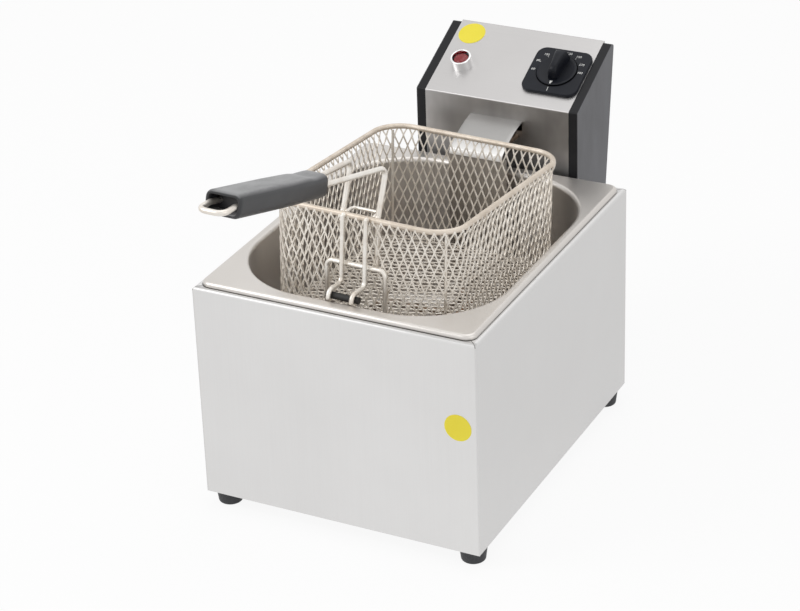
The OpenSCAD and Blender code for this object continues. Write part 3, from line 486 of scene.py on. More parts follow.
wire_nickel = nickel_wire("basket_wire", (0.86, 0.83, 0.78), (0.74, 0.68, 0.61))
rim_nickel = nickel_wire("basket_rim_wire", (0.74, 0.66, 0.57), (0.60, 0.52, 0.43), 0.46, 0.65)
mesh_nickel = nickel_wire("basket_mesh", (0.90, 0.85, 0.78), (0.77, 0.71, 0.63), 0.42, 0.5)
copper = nickel_wire("copper", (0.72, 0.40, 0.22), (0.42, 0.22, 0.12))
print("three nickels and copper")

# %% [markdown]
# Moulded plastic takes its fine grain from the mould, so its bump is a small even noise, and its
# sheen drifts a little with use.

# %% Moulded plastic and rubber
DIAL_BLACKS = (0.006, 0.007, 0.011), (0.010, 0.012, 0.018)
PLASTIC_RELIEF = 0.00002


def mould_grain(tree, scale=1500):
    """The even grain that plastic takes from its mould."""
    return noise(tree, scale, 2, 0.5)


def use_drift(tree):
    """The slow drift of tone and sheen that use leaves."""
    return noise(tree, 24, 3, 0.6)


def moulded(name, dark, light, roughness, relief=PLASTIC_RELIEF, grain_scale=1500, specular=0.5):
    """Plastic or rubber between two tones."""
    material, tree, shader = new_material(name, specular=specular)
    drift = use_drift(tree)
    feed(shader, "Base Color", blend_colour(tree, drift.between(0.3, 0.7), dark, light))
    feed(shader, "Roughness", drift * 0.16 + (roughness - 0.08))
    bump(tree, shader, mould_grain(tree, grain_scale), relief)
    return material


dial_black = moulded("dial_black", *DIAL_BLACKS, 0.38, specular=0.2)
foot_rubber = moulded("foot_rubber", (0.030, 0.031, 0.034), (0.045, 0.046, 0.050), 0.62, 0.00005, 700)
sleeve_black = moulded("sleeve_black", (0.012, 0.011, 0.010), (0.022, 0.020, 0.018), 0.6)
gland_black = moulded("gland_black", (0.025, 0.025, 0.027), (0.035, 0.035, 0.037), 0.45)
control_body = moulded("control_body", (0.62, 0.60, 0.54), (0.70, 0.68, 0.62), 0.45)
cutout_brown = moulded("cutout_brown", (0.05, 0.03, 0.02), (0.08, 0.05, 0.035), 0.4)
ceramic_white = moulded("ceramic_white", (0.70, 0.68, 0.62), (0.78, 0.76, 0.70), 0.3)
print_white = moulded("dial_print", (0.78, 0.78, 0.76), (0.86, 0.86, 0.84), 0.5)
label_yellow = moulded("label_yellow", (0.90, 0.76, 0.035), (0.94, 0.81, 0.05), 0.35)
print("nine mouldings")

# %% [markdown]
# The grip is paler where it faces up, as a painted sheen from the light above, broken by scuffs in streaks
# along it. The cheeks' flat sides are lighter lower down, as a painted reflection, and smudged grey, while
# their edges stay black. On the dial plate, a painted shadow darkens the narrow gap round the knob's skirt.

# %% Grip, cheeks and dial plate
HEAD_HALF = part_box("right_cheek")[1].x


def grip_finish():
    """Dark plastic, with a painted sheen wherever it faces up, broken by scuffs."""
    material, tree, shader = new_material("grip_plastic")
    scuff = noise(tree, 90, 4, 0.65, (1, 0.25, 1))
    normal = add_node(tree, "ShaderNodeNewGeometry", output="Normal")
    facing_up = add_node(tree, "ShaderNodeSeparateXYZ", inputs={0: normal}, output="Z")
    painted_light_and_wear = facing_up.between(0.55, 0.93) * (scuff.between(0.30, 0.62) * 0.55 + 0.45)
    feed(shader, "Base Color", blend_colour(tree, painted_light_and_wear, (0.030, 0.031, 0.034), (0.285, 0.286, 0.292)))
    feed(shader, "Roughness", scuff * 0.2 + 0.26)
    bump(tree, shader, mould_grain(tree), 0.00004)
    return material


def cheek_finish():
    """Black plastic whose flat outer side is lighter lower down, as a painted reflection, and smudged grey,
    less so near the top.
    """
    material, tree, shader = new_material("cheek_plastic", specular=0.15)
    smudge = noise(tree, 26, 4, 0.6, (1, 1, 0.4))
    x, _, z = axes(tree)
    # low lightens the side towards the bottom: a painted reflection.
    low = 1 - z.between(320 * MM, 385 * MM)
    side = abs(x).between(HEAD_HALF - 0.8 * MM, HEAD_HALF - 0.3 * MM)
    painted_light_and_wear = (low * 0.6 + smudge.between(0.35, 0.70) * (low * 0.3 + 0.1)) * side
    feed(shader, "Base Color", blend_colour(tree, painted_light_and_wear, (0.021, 0.021, 0.023), (0.150, 0.151, 0.163)))
    feed(shader, "Roughness", smudge * 0.22 + 0.24)
    bump(tree, shader, mould_grain(tree), PLASTIC_RELIEF)
    return material


def plate_finish():
    """The dial's black, and a painted shadow within 20 mm of the knob's axis, round the knob's skirt."""
    material, tree, shader = new_material("dial_plate_black", roughness=0.38, specular=0.2)
    drift = use_drift(tree)
    centre = AT_DIAL @ Vector((0, 0, PLATE_TOP * MM))
    dx, dy, dz = (part - middle for part, middle in zip(axes(tree), centre))
    reach = (dx * dx + dy * dy + dz * dz).math("SQRT")
    # gap is the painted shadow round the knob's skirt.
    gap = 1 - reach.between(19.9 * MM, 20.4 * MM)
    plain = blend_colour(tree, drift.between(0.3, 0.7), *DIAL_BLACKS)
    feed(shader, "Base Color", blend_colour(tree, gap, plain, (0.0005, 0.0005, 0.0005)))
    feed(shader, "Roughness", gap * 0.5 + drift * 0.16 + 0.30)
    bump(tree, shader, mould_grain(tree), PLASTIC_RELIEF)
    return material


grip_plastic = grip_finish()
cheek_plastic = cheek_finish()
plate_black = plate_finish()
print("three worn mouldings")

# %% [markdown]
# Oil and heat have stained the element's sheath straw and blue-brown, so it takes a colour ramp on
# noise. The lamp's lens is dark red glass, lit from outside only, with a thin clear coat.

# %% Element and lens


def element_finish():
    """Stained steel, rougher where it is paler."""
    material, tree, shader = new_material("element_metal", metallic=1.0)
    stain = noise(tree, 30, 4, 0.65)
    stops = [(0.3, (0.10, 0.075, 0.06)), (0.5, (0.30, 0.22, 0.16)), (0.7, (0.36, 0.33, 0.31))]
    feed(shader, "Base Color", add_node(tree, "ShaderNodeValToRGB", {"stops": stops}, {"Fac": stain}))
    feed(shader, "Roughness", stain * 0.3 + 0.25)
    bump(tree, shader, stain, 0.0001)
    return material


def lens_finish():
    """Dark red glass with a faint swirl."""
    material, tree, shader = new_material("lamp_red", roughness=0.08, specular=0.35)
    shader.inputs["Coat Weight"].default_value = 0.3
    shader.inputs["Transmission Weight"].default_value = 0.15
    swirl = noise(tree, 300, 2, 0.5)
    feed(shader, "Base Color", blend_colour(tree, swirl, (0.17, 0.003, 0.008), (0.40, 0.012, 0.02)))
    return material


element_metal = element_finish()
lamp_red = lens_finish()
print("element and lens finishes")

# %% [markdown]
# Each node of the model takes its finish here, also one that a new piece replaces further down.

# %% Finishes of the model's nodes
for material, names in (
    (casing_steel, ["outer_casing"]),
    (panel_steel, ["front_panel"]),
    (plate_steel, ["base_plate", "hanger_rail", "rear_cover", "head_hanger"]),
    (plate_steel, ["element_straps", "element_flange"]),
    (pan_steel, ["oil_pan"]),
    (bright_steel, ["foot_screws", "rail_screws", "cover_screws", "dial_screws", "knob_shaft"]),
    (foot_rubber, ["rubber_feet"]),
    (wire_nickel, ["basket_rim", "seam_wires", "hook_wires", "brace_wire", "keeper_wire", "handle_wire"]),
    (mesh_nickel, ["mesh_front", "mesh_back", "mesh_left", "mesh_right", "mesh_corners", "mesh_floor"]),
    (sleeve_black, ["hook_sleeve"]),
    (grip_plastic, ["handle_grip"]),
    (cheek_plastic, ["left_cheek", "right_cheek"]),
    (casing_steel, ["element_hood"]),
    (element_metal, ["element_tube"]),
    (ceramic_white, ["element_terminals"]),
    (control_body, ["thermostat_body", "terminal_block"]),
    (copper, ["thermostat_bulb"]),
    (cutout_brown, ["safety_cutout"]),
    (gland_black, ["cable_gland", "lamp_body"]),
    (plate_black, ["dial_plate"]),
    (dial_black, ["control_knob"]),
    (polished, ["lamp_bezel"]),
    (lamp_red, ["lamp_lens"]),
):
    for name in names:
        mesh = nodes[name].data
        mesh.materials.clear()
        mesh.materials.append(material)
print("finished", len(nodes), "nodes")

# %% [markdown]
# ## The basket's mesh
# Expanded metal starts as a plain sheet. A press slits it in staggered rows and stretches it, so each
# slit opens into a diamond and the strands between turn a little out of the sheet. It is built flat,
# in diamonds, carried onto the basket by a function of its place, and then given its thickness.

# %% Expanded metal
DIAMOND_W, DIAMOND_H = 8.25, 19.0
STRAND, STRAND_T = 1.2, 0.9  # a strand's width and thickness (mm)
TWIST = 0.24
EDGE_STEPS = 3
MATCHES = 60  # places per diamond at which neighbours share a vertex


def new_piece(name, bm, body, material, smooth_angle=40):
    """Turns a bmesh in metres into a piece that rides on a body."""
    mesh = bpy.data.meshes.new(name)
    bmesh.ops.recalc_face_normals(bm, faces=bm.faces[:])
    bm.to_mesh(mesh)
    bm.free()
    for polygon in mesh.polygons:
        polygon.use_smooth = True
    mesh.set_sharp_from_angle(angle=math.radians(smooth_angle))
    piece = link(bpy.data.objects.new(name, mesh))
    mesh.materials.append(material)
    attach(piece, body)
    return piece


def diamond_ring():
    """A diamond's outline and its hole, in diamonds from its centre, with the twist of each hole point."""
    a, b = DIAMOND_W / 2, DIAMOND_H / 2
    inset = STRAND / 2 / (a * b / math.hypot(a, b))
    corners = [(0.5, 0), (0, 0.5), (-0.5, 0), (0, -0.5)]
    outer, inner = [], []
    for k in range(4):
        (x0, y0), (x1, y1) = corners[k], corners[(k + 1) % 4]
        for step in range(EDGE_STEPS):
            t = step / EDGE_STEPS
            x, y = x0 + (x1 - x0) * t, y0 + (y1 - y0) * t
            outer.append((x, y))
            bulge = 1 - inset + 0.16 * t * (1 - t)
            inner.append((x * bulge, y * bulge * 0.95, y * 2))
    return outer, inner


def expanded_metal(cells, surface, wrap=None):
    """A sheet of expanded metal. cells are centres in half diamonds. surface(u, v) gives a place and
    the way out of the sheet there. wrap is the number of diamonds round a closed sheet."""
    bm = bmesh.new()
    outer, inner = diamond_ring()
    shared = {}

    def shared_vert(u, v):
        across = round(u * MATCHES)
        key = (across % (MATCHES * wrap) if wrap else across, round(v * MATCHES))
        if key not in shared:
            shared[key] = bm.verts.new(surface(u, v)[0])
        return shared[key]

    for i, j in cells:
        u, v = i / 2, j / 2
        ring = [shared_vert(u + x, v + y) for x, y in outer]
        hole = []
        for x, y, turn in inner:
            place_at, side = surface(u + x, v + y)
            hole.append(bm.verts.new(place_at + side * turn * TWIST * MM))
        count = len(ring)
        for k in range(count):
            n = (k + 1) % count
            bm.faces.new((ring[k], ring[n], hole[n], hole[k]))
    bm.normal_update()
    bmesh.ops.solidify(bm, geom=bm.faces[:], thickness=STRAND_T * MM)
    return bm


print("diamonds of", DIAMOND_W, "by", DIAMOND_H, "mm with", 4 * EDGE_STEPS, "points each")

# %% [markdown]
# One sheet runs round all four walls. Sideways, a point follows the rounded rectangle of the basket.
# Upwards, it follows a section that starts under the floor's edge, turns up in a small fold, widens
# near the top and ends round the rim wire.

# %% Basket walls
BASKET_W, BASKET_L, BASKET_H, BASKET_R = 182, 218, 110, 28
PERIMETER = 2 * (BASKET_W + BASKET_L - 4 * BASKET_R) + 2 * math.pi * BASKET_R
FOLD_R = 4.5
WRAP_R = 2.55  # the mesh round the rim wire


def along_basket(distance):
    """A point on the basket's outline and its outward way, the distance run from the front's middle."""
    side, end, r = BASKET_W / 2, BASKET_L, BASKET_R
    flat, arc = side - r, math.pi / 2 * r
    long_flat = end - 2 * r
    runs = [
        ("line", (0, 0), (1, 0), flat),
        ("arc", (flat, r), -90, arc),
        ("line", (side, r), (0, 1), long_flat),
        ("arc", (flat, end - r), 0, arc),
        ("line", (flat, end), (-1, 0), 2 * flat),
        ("arc", (-flat, end - r), 90, arc),
        ("line", (-side, end - r), (0, -1), long_flat),
        ("arc", (-flat, r), 180, arc),
        ("line", (-flat, 0), (1, 0), flat),
    ]
    for run in runs:
        kind, start, way, length = run
        if distance <= length or run is runs[-1]:
            break
        distance -= length
    if kind == "line":
        return (start[0] + way[0] * distance, start[1] + way[1] * distance), (way[1], -way[0])
    angle = math.radians(way) + distance / r
    out = (math.cos(angle), math.sin(angle))
    return (start[0] + out[0] * r, start[1] + out[1] * r), out


def arc_points(x, z, radius, first, last, step=15):
    """Points of an arc about (x, z), at every step of degrees from first to last."""
    angles = [math.radians(d) for d in range(first, last + 1, step)]
    return [(x + radius * math.cos(a), z + radius * math.sin(a)) for a in angles]


profile = [(-2 * FOLD_R, -BASKET_H), (-5, -BASKET_H)]  # the wall's section, outward and up
profile += arc_points(-FOLD_R, -BASKET_H + FOLD_R, FOLD_R, -75, 0)
profile += [(0, -12), (0.4, -9), (1.5, -6), (2.6, -3)]
profile += arc_points(0, 0, WRAP_R, -15, 225)
profile_lengths = [0]
for (x0, z0), (x1, z1) in zip(profile, profile[1:]):
    profile_lengths.append(profile_lengths[-1] + math.hypot(x1 - x0, z1 - z0))
COLUMNS = round(PERIMETER / DIAMOND_W)
ROWS = round(profile_lengths[-1] / DIAMOND_H * 2) / 2


def on_wall(u, v):
    """The place of a point u diamonds round the basket and v diamonds up its wall."""
    up = max(0, min(1, v / ROWS)) * profile_lengths[-1]
    k = max(i for i in range(len(profile) - 1) if profile_lengths[i] <= up)
    t = (up - profile_lengths[k]) / (profile_lengths[k + 1] - profile_lengths[k])
    (x0, z0), (x1, z1) = profile[k], profile[k + 1]
    lateral, height = x0 + (x1 - x0) * t, z0 + (z1 - z0) * t
    tangent = Vector((x1 - x0, z1 - z0)).normalized()
    (x, y), out = along_basket(u * PERIMETER / COLUMNS % PERIMETER)
    place_at = BASKET @ (Vector((x + out[0] * lateral, y + out[1] * lateral, height)) * MM)
    side = BASKET.to_3x3() @ Vector((out[0] * tangent.y, out[1] * tangent.y, -tangent.x))
    return place_at, side


wall_cells = [(i, j) for j in range(1, int(2 * ROWS)) for i in range(2 * COLUMNS) if (i + j) % 2]
walls = expanded_metal(wall_cells, on_wall, wrap=COLUMNS)
walls = new_piece("basket_walls", walls, "basket", mesh_nickel, 50)
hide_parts("mesh_front", "mesh_back", "mesh_left", "mesh_right", "mesh_corners")
print("walls", COLUMNS, "by", ROWS, "diamonds,", len(walls.data.polygons), "faces")

# %% [markdown]
# The floor is a second sheet, turned so that its diamonds run from side to side. It is cut to the
# basket's rounded outline, lies on the walls' fold and sags a little in the middle.

# %% Basket floor
FLOOR_ROWS = round(BASKET_L / DIAMOND_W)
FLOOR_COLUMNS = round(BASKET_W / DIAMOND_H)
FLOOR_SAG = 1.2
EDGE_MARGIN, CELL_MARGIN = 1.5, 2.5  # for the strands' ends, and for the diamonds' centres


def within_outline(x, y, margin):
    """The nearest point inside the basket's outline drawn in by margin, and whether it moved."""
    half_w, half_l, r = BASKET_W / 2 - margin, BASKET_L / 2 - margin, BASKET_R - margin
    y -= BASKET_L / 2
    cx, cy = max(r - half_w, min(half_w - r, x)), max(r - half_l, min(half_l - r, y))
    dx, dy = x - cx, y - cy
    reach = math.hypot(dx, dy)
    if reach > r:
        dx, dy = dx * r / reach, dy * r / reach
    return cx + dx, cy + dy + BASKET_L / 2, reach > r


def floor_place(u, v):
    """The flat place of a point u narrow diamonds back and v long ones across."""
    return (v - FLOOR_COLUMNS / 2) * BASKET_W / FLOOR_COLUMNS, u * BASKET_L / FLOOR_ROWS


def on_floor(u, v):
    """The place of a point of the floor's sheet, and the way up from it."""
    x, y, _ = within_outline(*floor_place(u, v), EDGE_MARGIN)
    dip = FLOOR_SAG * (1 - (2 * x / BASKET_W) ** 2) * (1 - (2 * y / BASKET_L - 1) ** 2)
    place_at = BASKET @ (Vector((x, y, STRAND_T - BASKET_H - dip)) * MM)
    return place_at, BASKET.to_3x3() @ Vector((0, 0, 1))


floor_cells = [
    (i, j)
    for i in range(2 * FLOOR_ROWS + 1)
    for j in range(2 * FLOOR_COLUMNS + 1)
    if (i + j) % 2 and not within_outline(*floor_place(i / 2, j / 2), CELL_MARGIN)[2]
]
basket_floor = expanded_metal(floor_cells, on_floor)
basket_floor = new_piece("basket_floor", basket_floor, "basket", mesh_nickel, 50)
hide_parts("mesh_floor")
print("floor", len(floor_cells), "diamonds,", len(basket_floor.data.polygons), "faces")

# %% [markdown]
# ## Rim, hook and handle
# A wire is a route of corner points. A workshop bends each corner over a round former, so every
# corner becomes an arc. A ring of points is then carried along the route without twisting.

# %% Bent wire


def rounded_route(points, radius, closed=False, steps=6):
    """The corner points with every corner replaced by an arc of the radius."""
    points = [Vector(p) for p in points]
    count = len(points)
    route = []
    for i, p in enumerate(points):
        if not closed and i in (0, count - 1):
            route.append(p)
            continue
        u = (points[i - 1] - p).normalized()
        v = (points[(i + 1) % count] - p).normalized()
        half = u.angle(v) / 2
        if math.pi / 2 - half < 0.02:
            route.append(p)
            continue
        centre = p + (u + v).normalized() * radius / math.sin(half)
        reach = radius / math.tan(half)
        first, last = (p + u * reach - centre).normalized(), (p + v * reach - centre).normalized()
        for k in range(steps + 1):
            route.append(centre + first.slerp(last, k / steps) * radius)
    return route


def add_tube(bm, route, diameter, frame_of, sides=16, closed=False):
    """A round wire along a route in millimetres, with softly rounded ends."""
    r = diameter / 2
    count = len(route)
    tangents = []
    for i in range(count):
        if closed:
            tangents.append((route[(i + 1) % count] - route[i - 1]).normalized())
        else:
            tangents.append((route[min(i + 1, count - 1)] - route[max(i - 1, 0)]).normalized())
    side = tangents[0].orthogonal().normalized()
    stations = []
    for p, tangent in zip(route, tangents):
        side = (side - tangent * side.dot(tangent)).normalized()
        stations.append((p, tangent, side.copy(), 1.0))
    if not closed:
        (p0, t0, s0, _), (p1, t1, s1, _) = stations[0], stations[-1]
        stations = [(p0, t0, s0, 0.6), (p0 + t0 * 0.35 * r, t0, s0, 0.95)] + stations[1:-1]
        stations += [(p1 - t1 * 0.35 * r, t1, s1, 0.95), (p1, t1, s1, 0.6)]
    angles = [2 * math.pi * k / sides for k in range(sides)]
    rings = []
    for p, t, s, size in stations:
        b = t.cross(s)
        places = [p + (s * math.cos(a) + b * math.sin(a)) * r * size for a in angles]
        rings.append([bm.verts.new(frame_of @ (place_at * MM)) for place_at in places])
    pairs = list(zip(rings, rings[1:])) + ([(rings[-1], rings[0])] if closed else [])
    for first, second in pairs:
        shift = 0
        if closed and second is rings[0]:
            shift = min(range(sides), key=lambda k: (second[k].co - first[0].co).length)
        for k in range(sides):
            n = (k + 1) % sides
            bm.faces.new((first[k], first[n], second[(n + shift) % sides], second[(k + shift) % sides]))
    if not closed:
        bm.faces.new(rings[0])
        bm.faces.new(rings[-1])


print("wire helpers ready")

# %% [markdown]
# The rim is a stout wire bent to the basket's outline and butt-welded, and the mesh is folded over
# it. The hook's two wires hang from it at the front. The handle is one wire: it rises from the mesh,
# runs out to a loop at the grip's far end and comes back.

# %% Rim, hook and handle wires
RIM_D, WIRE_D, HANDLE_D = 5.0, 4.4, 5
HOOK_X, LEG_X = 11.5, 17.3  # half the pitch of the hook's wires and of the handle's legs (mm)
half = BASKET_W / 2
corners = [(-half, 0, 0), (half, 0, 0), (half, BASKET_L, 0), (-half, BASKET_L, 0)]
rim = bmesh.new()
add_tube(rim, rounded_route(corners, BASKET_R, closed=True, steps=16), RIM_D, BASKET, 20, closed=True)
rim = new_piece("rim_wire", rim, "basket", rim_nickel)
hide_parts("basket_rim")

hook = bmesh.new()
for x in (-HOOK_X, HOOK_X):
    route = rounded_route([(x, -5.4, 2.2), (x, -8.4, -60), (x, -31, -60), (x, -31, -68)], 6)
    add_tube(hook, route, WIRE_D, BASKET)
hook = new_piece("hook_pair", hook, "basket", wire_nickel)
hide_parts("hook_wires")

near, far, loop = Vector((0, -68.5, 54.4)), Vector((0, -211.04, 86)), Vector((0, -228.04, 86))
near_side, far_side = Vector((7.5, 0, 0)), Vector((11.5, 0, 0))


def handle_leg(s):
    """One leg's corners, from its foot on the mesh over the rim and out; s is its side, -1 or 1."""
    foot = [(s * LEG_X, 3.2, -44), (s * LEG_X, 5.7, 0), (s * LEG_X, 20, 42)]
    return foot + [near + s * near_side, far + s * far_side]


handle = bmesh.new()
handle_corners = handle_leg(-1) + [loop - far_side, loop + far_side] + handle_leg(1)[::-1]
add_tube(handle, rounded_route(handle_corners, 7), HANDLE_D, BASKET)
handle = new_piece("handle_frame", handle, "basket", wire_nickel)
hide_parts("handle_wire")
print("wires of", RIM_D, WIRE_D, "and", HANDLE_D, "mm")

# %% [markdown]
# Where two wires cross they are spot-welded, which leaves a small bead. A bead is an icosphere
# pressed into an oval, listed for one side and made on both.

# %% Weld beads
BEADS = (  # place and size in the basket's frame (mm)
    ((HOOK_X, -4.0, 0.6), (4.6, 3.0, 5.5)),
    ((HOOK_X, -5.4, -44), (5.0, 3.4, 4.6)),
    ((LEG_X, 4.6, 0.4), (5.0, 4.2, 6.0)),
    ((29, -2.2, -62), (4.6, 3.4, 3.6)),
    ((13.6, 6.0, 1.0), (4.2, 4.6, 3.2)),
)
welds = bmesh.new()
for s in (-1, 1):
    for (x, y, z), size in BEADS:
        made = bmesh.ops.create_icosphere(welds, subdivisions=2, radius=0.5)
        for vert in made["verts"]:
            oval = Vector(part * across for part, across in zip(vert.co, size))
            vert.co = BASKET @ ((Vector((s * x, y, z)) + oval) * MM)
welds = new_piece("weld_beads", welds, "basket", wire_nickel)
print("weld beads", 2 * len(BEADS))

# %% [markdown]
# ## The grip
# The grip is a moulded sleeve pushed over the two handle wires. Its section is a rounded rectangle
# that widens towards the outer end, which is open, and its top dips where the thumb rests. It is
# lofted through rings of points, and the hollow is a second set of rings inside the first.

# %% Grip
GRIP_H, GRIP_CORNER = 20, 6.0
THUMB_AT, THUMB_REACH = 0.15, 0.05
CROWN, THUMB_DIP = 0.7, 1.9


def grip_width(t):
    """The width at t, 0 at the basket's end and 1 at the outer end."""
    return 25 + 8 * min(1, t / 0.5) ** 0.7


def grip_ring(t, inset=0.0, crown=0.0):
    """Points round the grip's section at t, drawn in by inset, with its top raised by crown."""
    centre = near.lerp(far, t)
    axis = (far - near).normalized()
    up = Vector((1, 0, 0)).cross(axis).normalized()
    if up.z < 0:
        up = -up
    w, h, r = grip_width(t) / 2 - inset, GRIP_H / 2 - inset, max(GRIP_CORNER - inset, 0.6)
    points = []
    for sx, sz, start in ((1, 1, 0), (-1, 1, 90), (-1, -1, 180), (1, -1, 270)):
        for x, z in arc_points(sx * (w - r), sz * (h - r), r, start, start + 90):
            if z > 0:
                z += crown * (1 - (x / w) ** 2)
            points.append(centre + Vector((x, 0, 0)) + up * z)
    return points


def join_rings(bm, first, second):
    """A band of faces between two rings of vertices of the same count."""
    for k in range(len(first)):
        n = (k + 1) % len(first)
        bm.faces.new((first[k], first[n], second[n], second[k]))


def loft(bm, rings, frame_of):
    """Joins rings of points of the same count, and returns their vertices."""
    made = [[bm.verts.new(frame_of @ (p * MM)) for p in ring] for ring in rings]
    for first, second in zip(made, made[1:]):
        join_rings(bm, first, second)
    return made


grip = bmesh.new()
near_end = [(0.0, 2.6), (0.003, 1.6), (0.008, 0.8), (0.016, 0.25), (0.026, 0)]
far_end = [(0.984, 0), (0.992, 0.3), (0.998, 0.9), (1.0, 1.6)]
rings = []
for t, inset in near_end + [(k / 28, 0) for k in range(1, 28)] + far_end:
    dip = math.exp(-(((t - THUMB_AT) / THUMB_REACH) ** 2))
    rings.append(grip_ring(t, inset, CROWN - THUMB_DIP * dip))
outside = loft(grip, rings, BASKET)
hollow = [(1.0, 2.6), (0.995, 3.2), (0.97, 3.4), (0.90, 3.6)]
inside = loft(grip, [grip_ring(t, wall) for t, wall in hollow], BASKET)
join_rings(grip, outside[-1], inside[0])
grip.faces.new(inside[-1])
grip.faces.new(outside[0])
grip = new_piece("grip_sleeve", grip, "basket", grip_plastic, 55)
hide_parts("handle_grip")
print("grip", len(grip.data.polygons), "faces")

# %% [markdown]
# ## Hood over the element
# The hood is one strip of sheet, rolled to an even curve and folded down at its lip: a line from the
# face to the lip, swept across, thickened and bevelled. Behind the lip a wider strip drops into the
# oil, to keep food off the element's legs.

# %% Hood and guard strip
HOOD_W, HOOD_T = 54, 1.2
LEG_Z = 254.6  # the element's legs, where they leave the face
RISE, RUN = 14.45, 48
LOW, HIGH = math.radians(8), math.radians(33)
ROLL_R = RUN / (math.sin(HIGH) - math.sin(LOW))
LIP_REACH, LIP_DROP = 2.6, 4.6
GUARD_W, GUARD_FOOT = 60, 111.1  # the strip's width, and how high its foot hangs


def hood_point(y):
    """The hood's line at y in front of the face."""
    a = math.asin(y / ROLL_R + math.sin(LOW))
    return Vector((0, FACE_Y - y, LEG_Z + RISE - ROLL_R * (math.cos(LOW) - math.cos(a))))


edge = hood_point(RUN - LIP_REACH)
line = [Vector((0, FACE_Y, LEG_Z + RISE - 9))] + [hood_point((RUN - LIP_REACH) * k / 20) for k in range(20)]
line += rounded_route([line[-1], edge, edge - Vector((0, LIP_REACH, LIP_DROP))], 1.2, steps=5)
across = [Vector((HOOD_W * (c / 12 - 0.5), 0, 0)) for c in range(13)]
hood = bmesh.new()
grid = [[hood.verts.new((p + shift) * MM) for shift in across] for p in line]
for first, second in zip(grid, grid[1:]):
    for c in range(len(across) - 1):
        hood.faces.new((first[c], first[c + 1], second[c + 1], second[c]))
hood.normal_update()
bmesh.ops.solidify(hood, geom=hood.faces[:], thickness=HOOD_T * MM)
sharp = [e for e in hood.edges if e.is_manifold and e.calc_face_angle(0) > math.radians(60)]
bmesh.ops.bevel(hood, geom=sharp, offset=0.3 * MM, segments=2, profile=0.5, affect="EDGES", material=-1)
hood = new_piece("hood_sheet", hood, "head", hood_steel)

top = edge.z - 4
guard = bmesh.new()
made = bmesh.ops.create_cube(guard, size=1)
size = Vector((GUARD_W, HOOD_T, top - GUARD_FOOT))
middle = Vector((0, edge.y + HOOD_T * 1.5, (top + GUARD_FOOT) / 2))
for vert in made["verts"]:
    vert.co = (middle + vert.co * size) * MM
sharp = guard.edges[:]
bmesh.ops.bevel(guard, geom=sharp, offset=0.35 * MM, segments=2, profile=0.5, affect="EDGES", material=-1)
guard = new_piece("guard_strip", guard, "head", guard_steel)
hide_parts("element_hood")
print("hood", HOOD_W, "mm wide, guard", round(top - GUARD_FOOT), "mm long")

# %% [markdown]
# ## Dial and lamp
# The dial plate's scale is printed: plain numbers round the knob, a short tick at each, and one line
# for off. The print is flat faces just over the plate.

# %% Dial print
PRINT_Z = PLATE_TOP + 0.06
MARKS = (  # a number, and its place across and up the panel (mm)
    ("60", 21.7, 43.5),
    ("80", 22.6, 55.0),
    ("100", 28.0, 64.0),
    ("130", 49.6, 69.0),
    ("150", 60.0, 66.8),
    ("170", 66.5, 57.5),
    ("190", 68.5, 47.2),
)


def printed_number(text, x, s, size):
    """A number printed on the dial plate, lying x across and s up the panel."""
    curve = bpy.data.curves.new("number_" + text, "FONT")
    curve.body = text
    curve.size = size
    curve.align_x = "CENTER"
    curve.align_y = "CENTER"
    typed = link(bpy.data.objects.new("number_" + text, curve))
    bpy.context.view_layer.update()
    mesh = bpy.data.meshes.new_from_object(typed)
    bpy.data.objects.remove(typed)
    mesh.transform(PANEL @ moved(x, s, PRINT_Z) @ Matrix.Scale(MM, 4))
    bm = bmesh.new()
    bm.from_mesh(mesh)
    bpy.data.meshes.remove(mesh)
    return bm


def printed_line(name, first, last, width):
    """A printed line between two places on the panel."""
    bm = bmesh.new()
    first, last = Vector((*first, PRINT_Z)), Vector((*last, PRINT_Z))
    aside = (last - first).normalized().cross(Vector((0, 0, 1))) * width / 2
    places = (first - aside, last - aside, last + aside, first + aside)
    bm.faces.new([bm.verts.new(PANEL @ (p * MM)) for p in places])
    new_piece(name, bm, "head", print_white)


for text, x, s in MARKS:
    new_piece("number_" + text, printed_number(text, x, s, 3.7), "head", print_white)
dial_mid = Vector((DIAL_X, DIAL_UP))
for text, x, s in MARKS:
    way = (Vector((x, s)) - dial_mid).normalized()
    printed_line("tick_" + text, dial_mid + way * 21.4, dial_mid + way * 22.9, 0.4)
printed_line("off_mark", (45.3, 19.2), (44.9, 24.2), 0.5)
print("printed", len(MARKS), "numbers with their ticks")

# %% [markdown]
# The knob is a flat disc, spun, with a grip bar lofted across it. The bar's flanks lean in, its top is
# rounded, and its front end drops to the pointer, a white wedge on the disc's edge.

# %% Knob
KNOB_TOP = 4.1
DISC = (  # radius and height of the disc's section (mm)
    (0.0, 3.8), (18.9, 3.8), (19.3, 4.0), (19.5, 4.3), (19.5, 4.6), (19.3, 4.95),
    (18.8, 5.1), (16.5, 4.7), (13.0, 4.3), (8.0, 4.1), (0.0, 4.0),
)
BAR = (  # place along the bar, height, half width at the top and at the foot (mm)
    (-11.4, 1.2, 4.0, 5.2), (-10.8, 5.0, 4.1, 5.0), (-9.6, 9.0, 4.1, 4.8), (-7.5, 11.2, 3.9, 4.7),
    (-3.5, 12.2, 3.6, 4.7), (0, 12.4, 3.8, 5.0), (5, 12.4, 4.2, 5.4), (10, 12.3, 4.8, 6.0),
    (14, 12.0, 5.4, 6.6), (16.5, 11.0, 5.7, 7.1), (17.8, 8.8, 5.6, 7.2), (18.3, 5.0, 5.5, 7.2),
    (18.4, 1.2, 5.4, 7.1),
)
POINTER = ((-1.5, -14.0, 4.47), (-0.5, -18.2, 5.08), (0.5, -18.2, 5.08), (1.5, -14.0, 4.47))


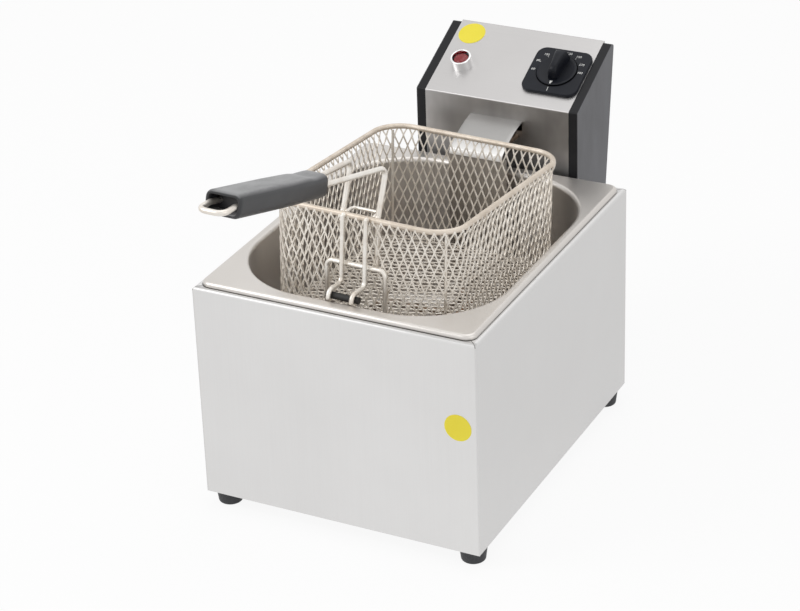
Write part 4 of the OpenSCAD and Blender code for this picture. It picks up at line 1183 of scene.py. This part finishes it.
def knob_bar_ring(s, height, half_w, base_w):
    """The bar's section at s along it: a foot, flanks that lean in, and a top rounded by 1.6 mm."""
    angles = [math.pi * k / 8 for k in range(9)]
    rounded = [(-half_w * math.cos(a), height - 1.6 + 1.6 * math.sin(a)) for a in angles]
    return [Vector((x, s, KNOB_TOP + z)) for x, z in [(-base_w, 0), *rounded, (base_w, 0)]]


knob = bmesh.new()
disc_verts = [knob.verts.new((r, 0, z)) for r, z in DISC]
geom = disc_verts + [knob.edges.new(pair) for pair in zip(disc_verts, disc_verts[1:])]
origin, up = (0, 0, 0), (0, 0, 1)
bmesh.ops.spin(knob, geom=geom, cent=origin, axis=up, angle=2 * math.pi, steps=64, use_merge=True)
for vert in knob.verts:
    vert.co = AT_DIAL @ (vert.co * MM)
made = loft(knob, [knob_bar_ring(*section) for section in BAR], AT_DIAL)
knob.faces.new(made[0])
knob.faces.new(made[-1])
bmesh.ops.remove_doubles(knob, verts=knob.verts[:], dist=0.01 * MM)
knob = new_piece("knob_moulding", knob, "knob", dial_black, 35)
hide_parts("control_knob")

pointer = bmesh.new()
pointer.faces.new([pointer.verts.new(AT_DIAL @ (Vector(p) * MM)) for p in POINTER])
new_piece("pointer_mark", pointer, "knob", print_white)
print("knob", len(knob.data.polygons), "faces")

# %% [markdown]
# The lamp's lens is moulded with facets that catch the light while it is off: three bands of
# triangles round a small flat top, each ring turned half a facet against the last.

# %% Lens
FACETS = 12
LENS_RINGS = ((7.6, 5.6, 0), (7.0, 7.0, 0.5), (4.8, 7.9, 0), (2.2, 8.3, 0.5))  # radius, height, turn
lens = bmesh.new()
rings = []
for radius, height, turn in LENS_RINGS:
    angles = [2 * math.pi * (k + turn) / FACETS for k in range(FACETS)]
    places = [Vector((radius * math.cos(a), radius * math.sin(a), height)) for a in angles]
    rings.append([lens.verts.new(AT_LAMP @ (p * MM)) for p in places])
for first, second in zip(rings, rings[1:]):
    for k in range(FACETS):
        n = (k + 1) % FACETS
        bmesh.ops.contextual_create(lens, geom=[first[k], first[n], second[k]])
        bmesh.ops.contextual_create(lens, geom=[first[n], second[n], second[k]])
lens.faces.new(rings[-1])
lens.faces.new(rings[0])
lens = new_piece("lens_facets", lens, "head", lamp_red, 5)
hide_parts("lamp_lens")
print("lens", len(lens.data.polygons), "facets")

# %% [markdown]
# Two plain round labels are stuck on the panel and the casing's front. Each is a disc of thin film.

# %% Labels
FILM = 0.15
STUCK = 0.02  # how far the film's back lies over the steel (mm)


def round_label(name, place_by, radius, body):
    """A round label on a surface whose outward side is the frame's z."""
    bm = bmesh.new()
    bmesh.ops.create_circle(bm, cap_ends=True, segments=48, radius=radius)
    extruded = bmesh.ops.extrude_face_region(bm, geom=bm.faces[:])
    raised = [v for v in extruded["geom"] if isinstance(v, bmesh.types.BMVert)]
    bmesh.ops.translate(bm, verts=raised, vec=(0, 0, FILM))
    for vert in bm.verts:
        vert.co = place_by @ (vert.co * MM)
    new_piece(name, bm, body, label_yellow)


round_label("panel_label", PANEL @ moved(-58, 79, STUCK), 13.4, "head")
round_label("front_label", moved(119, casing_lo.y / MM - STUCK, 141.1) @ turned("X", 90), 12.8, "casing")
print("labels done")
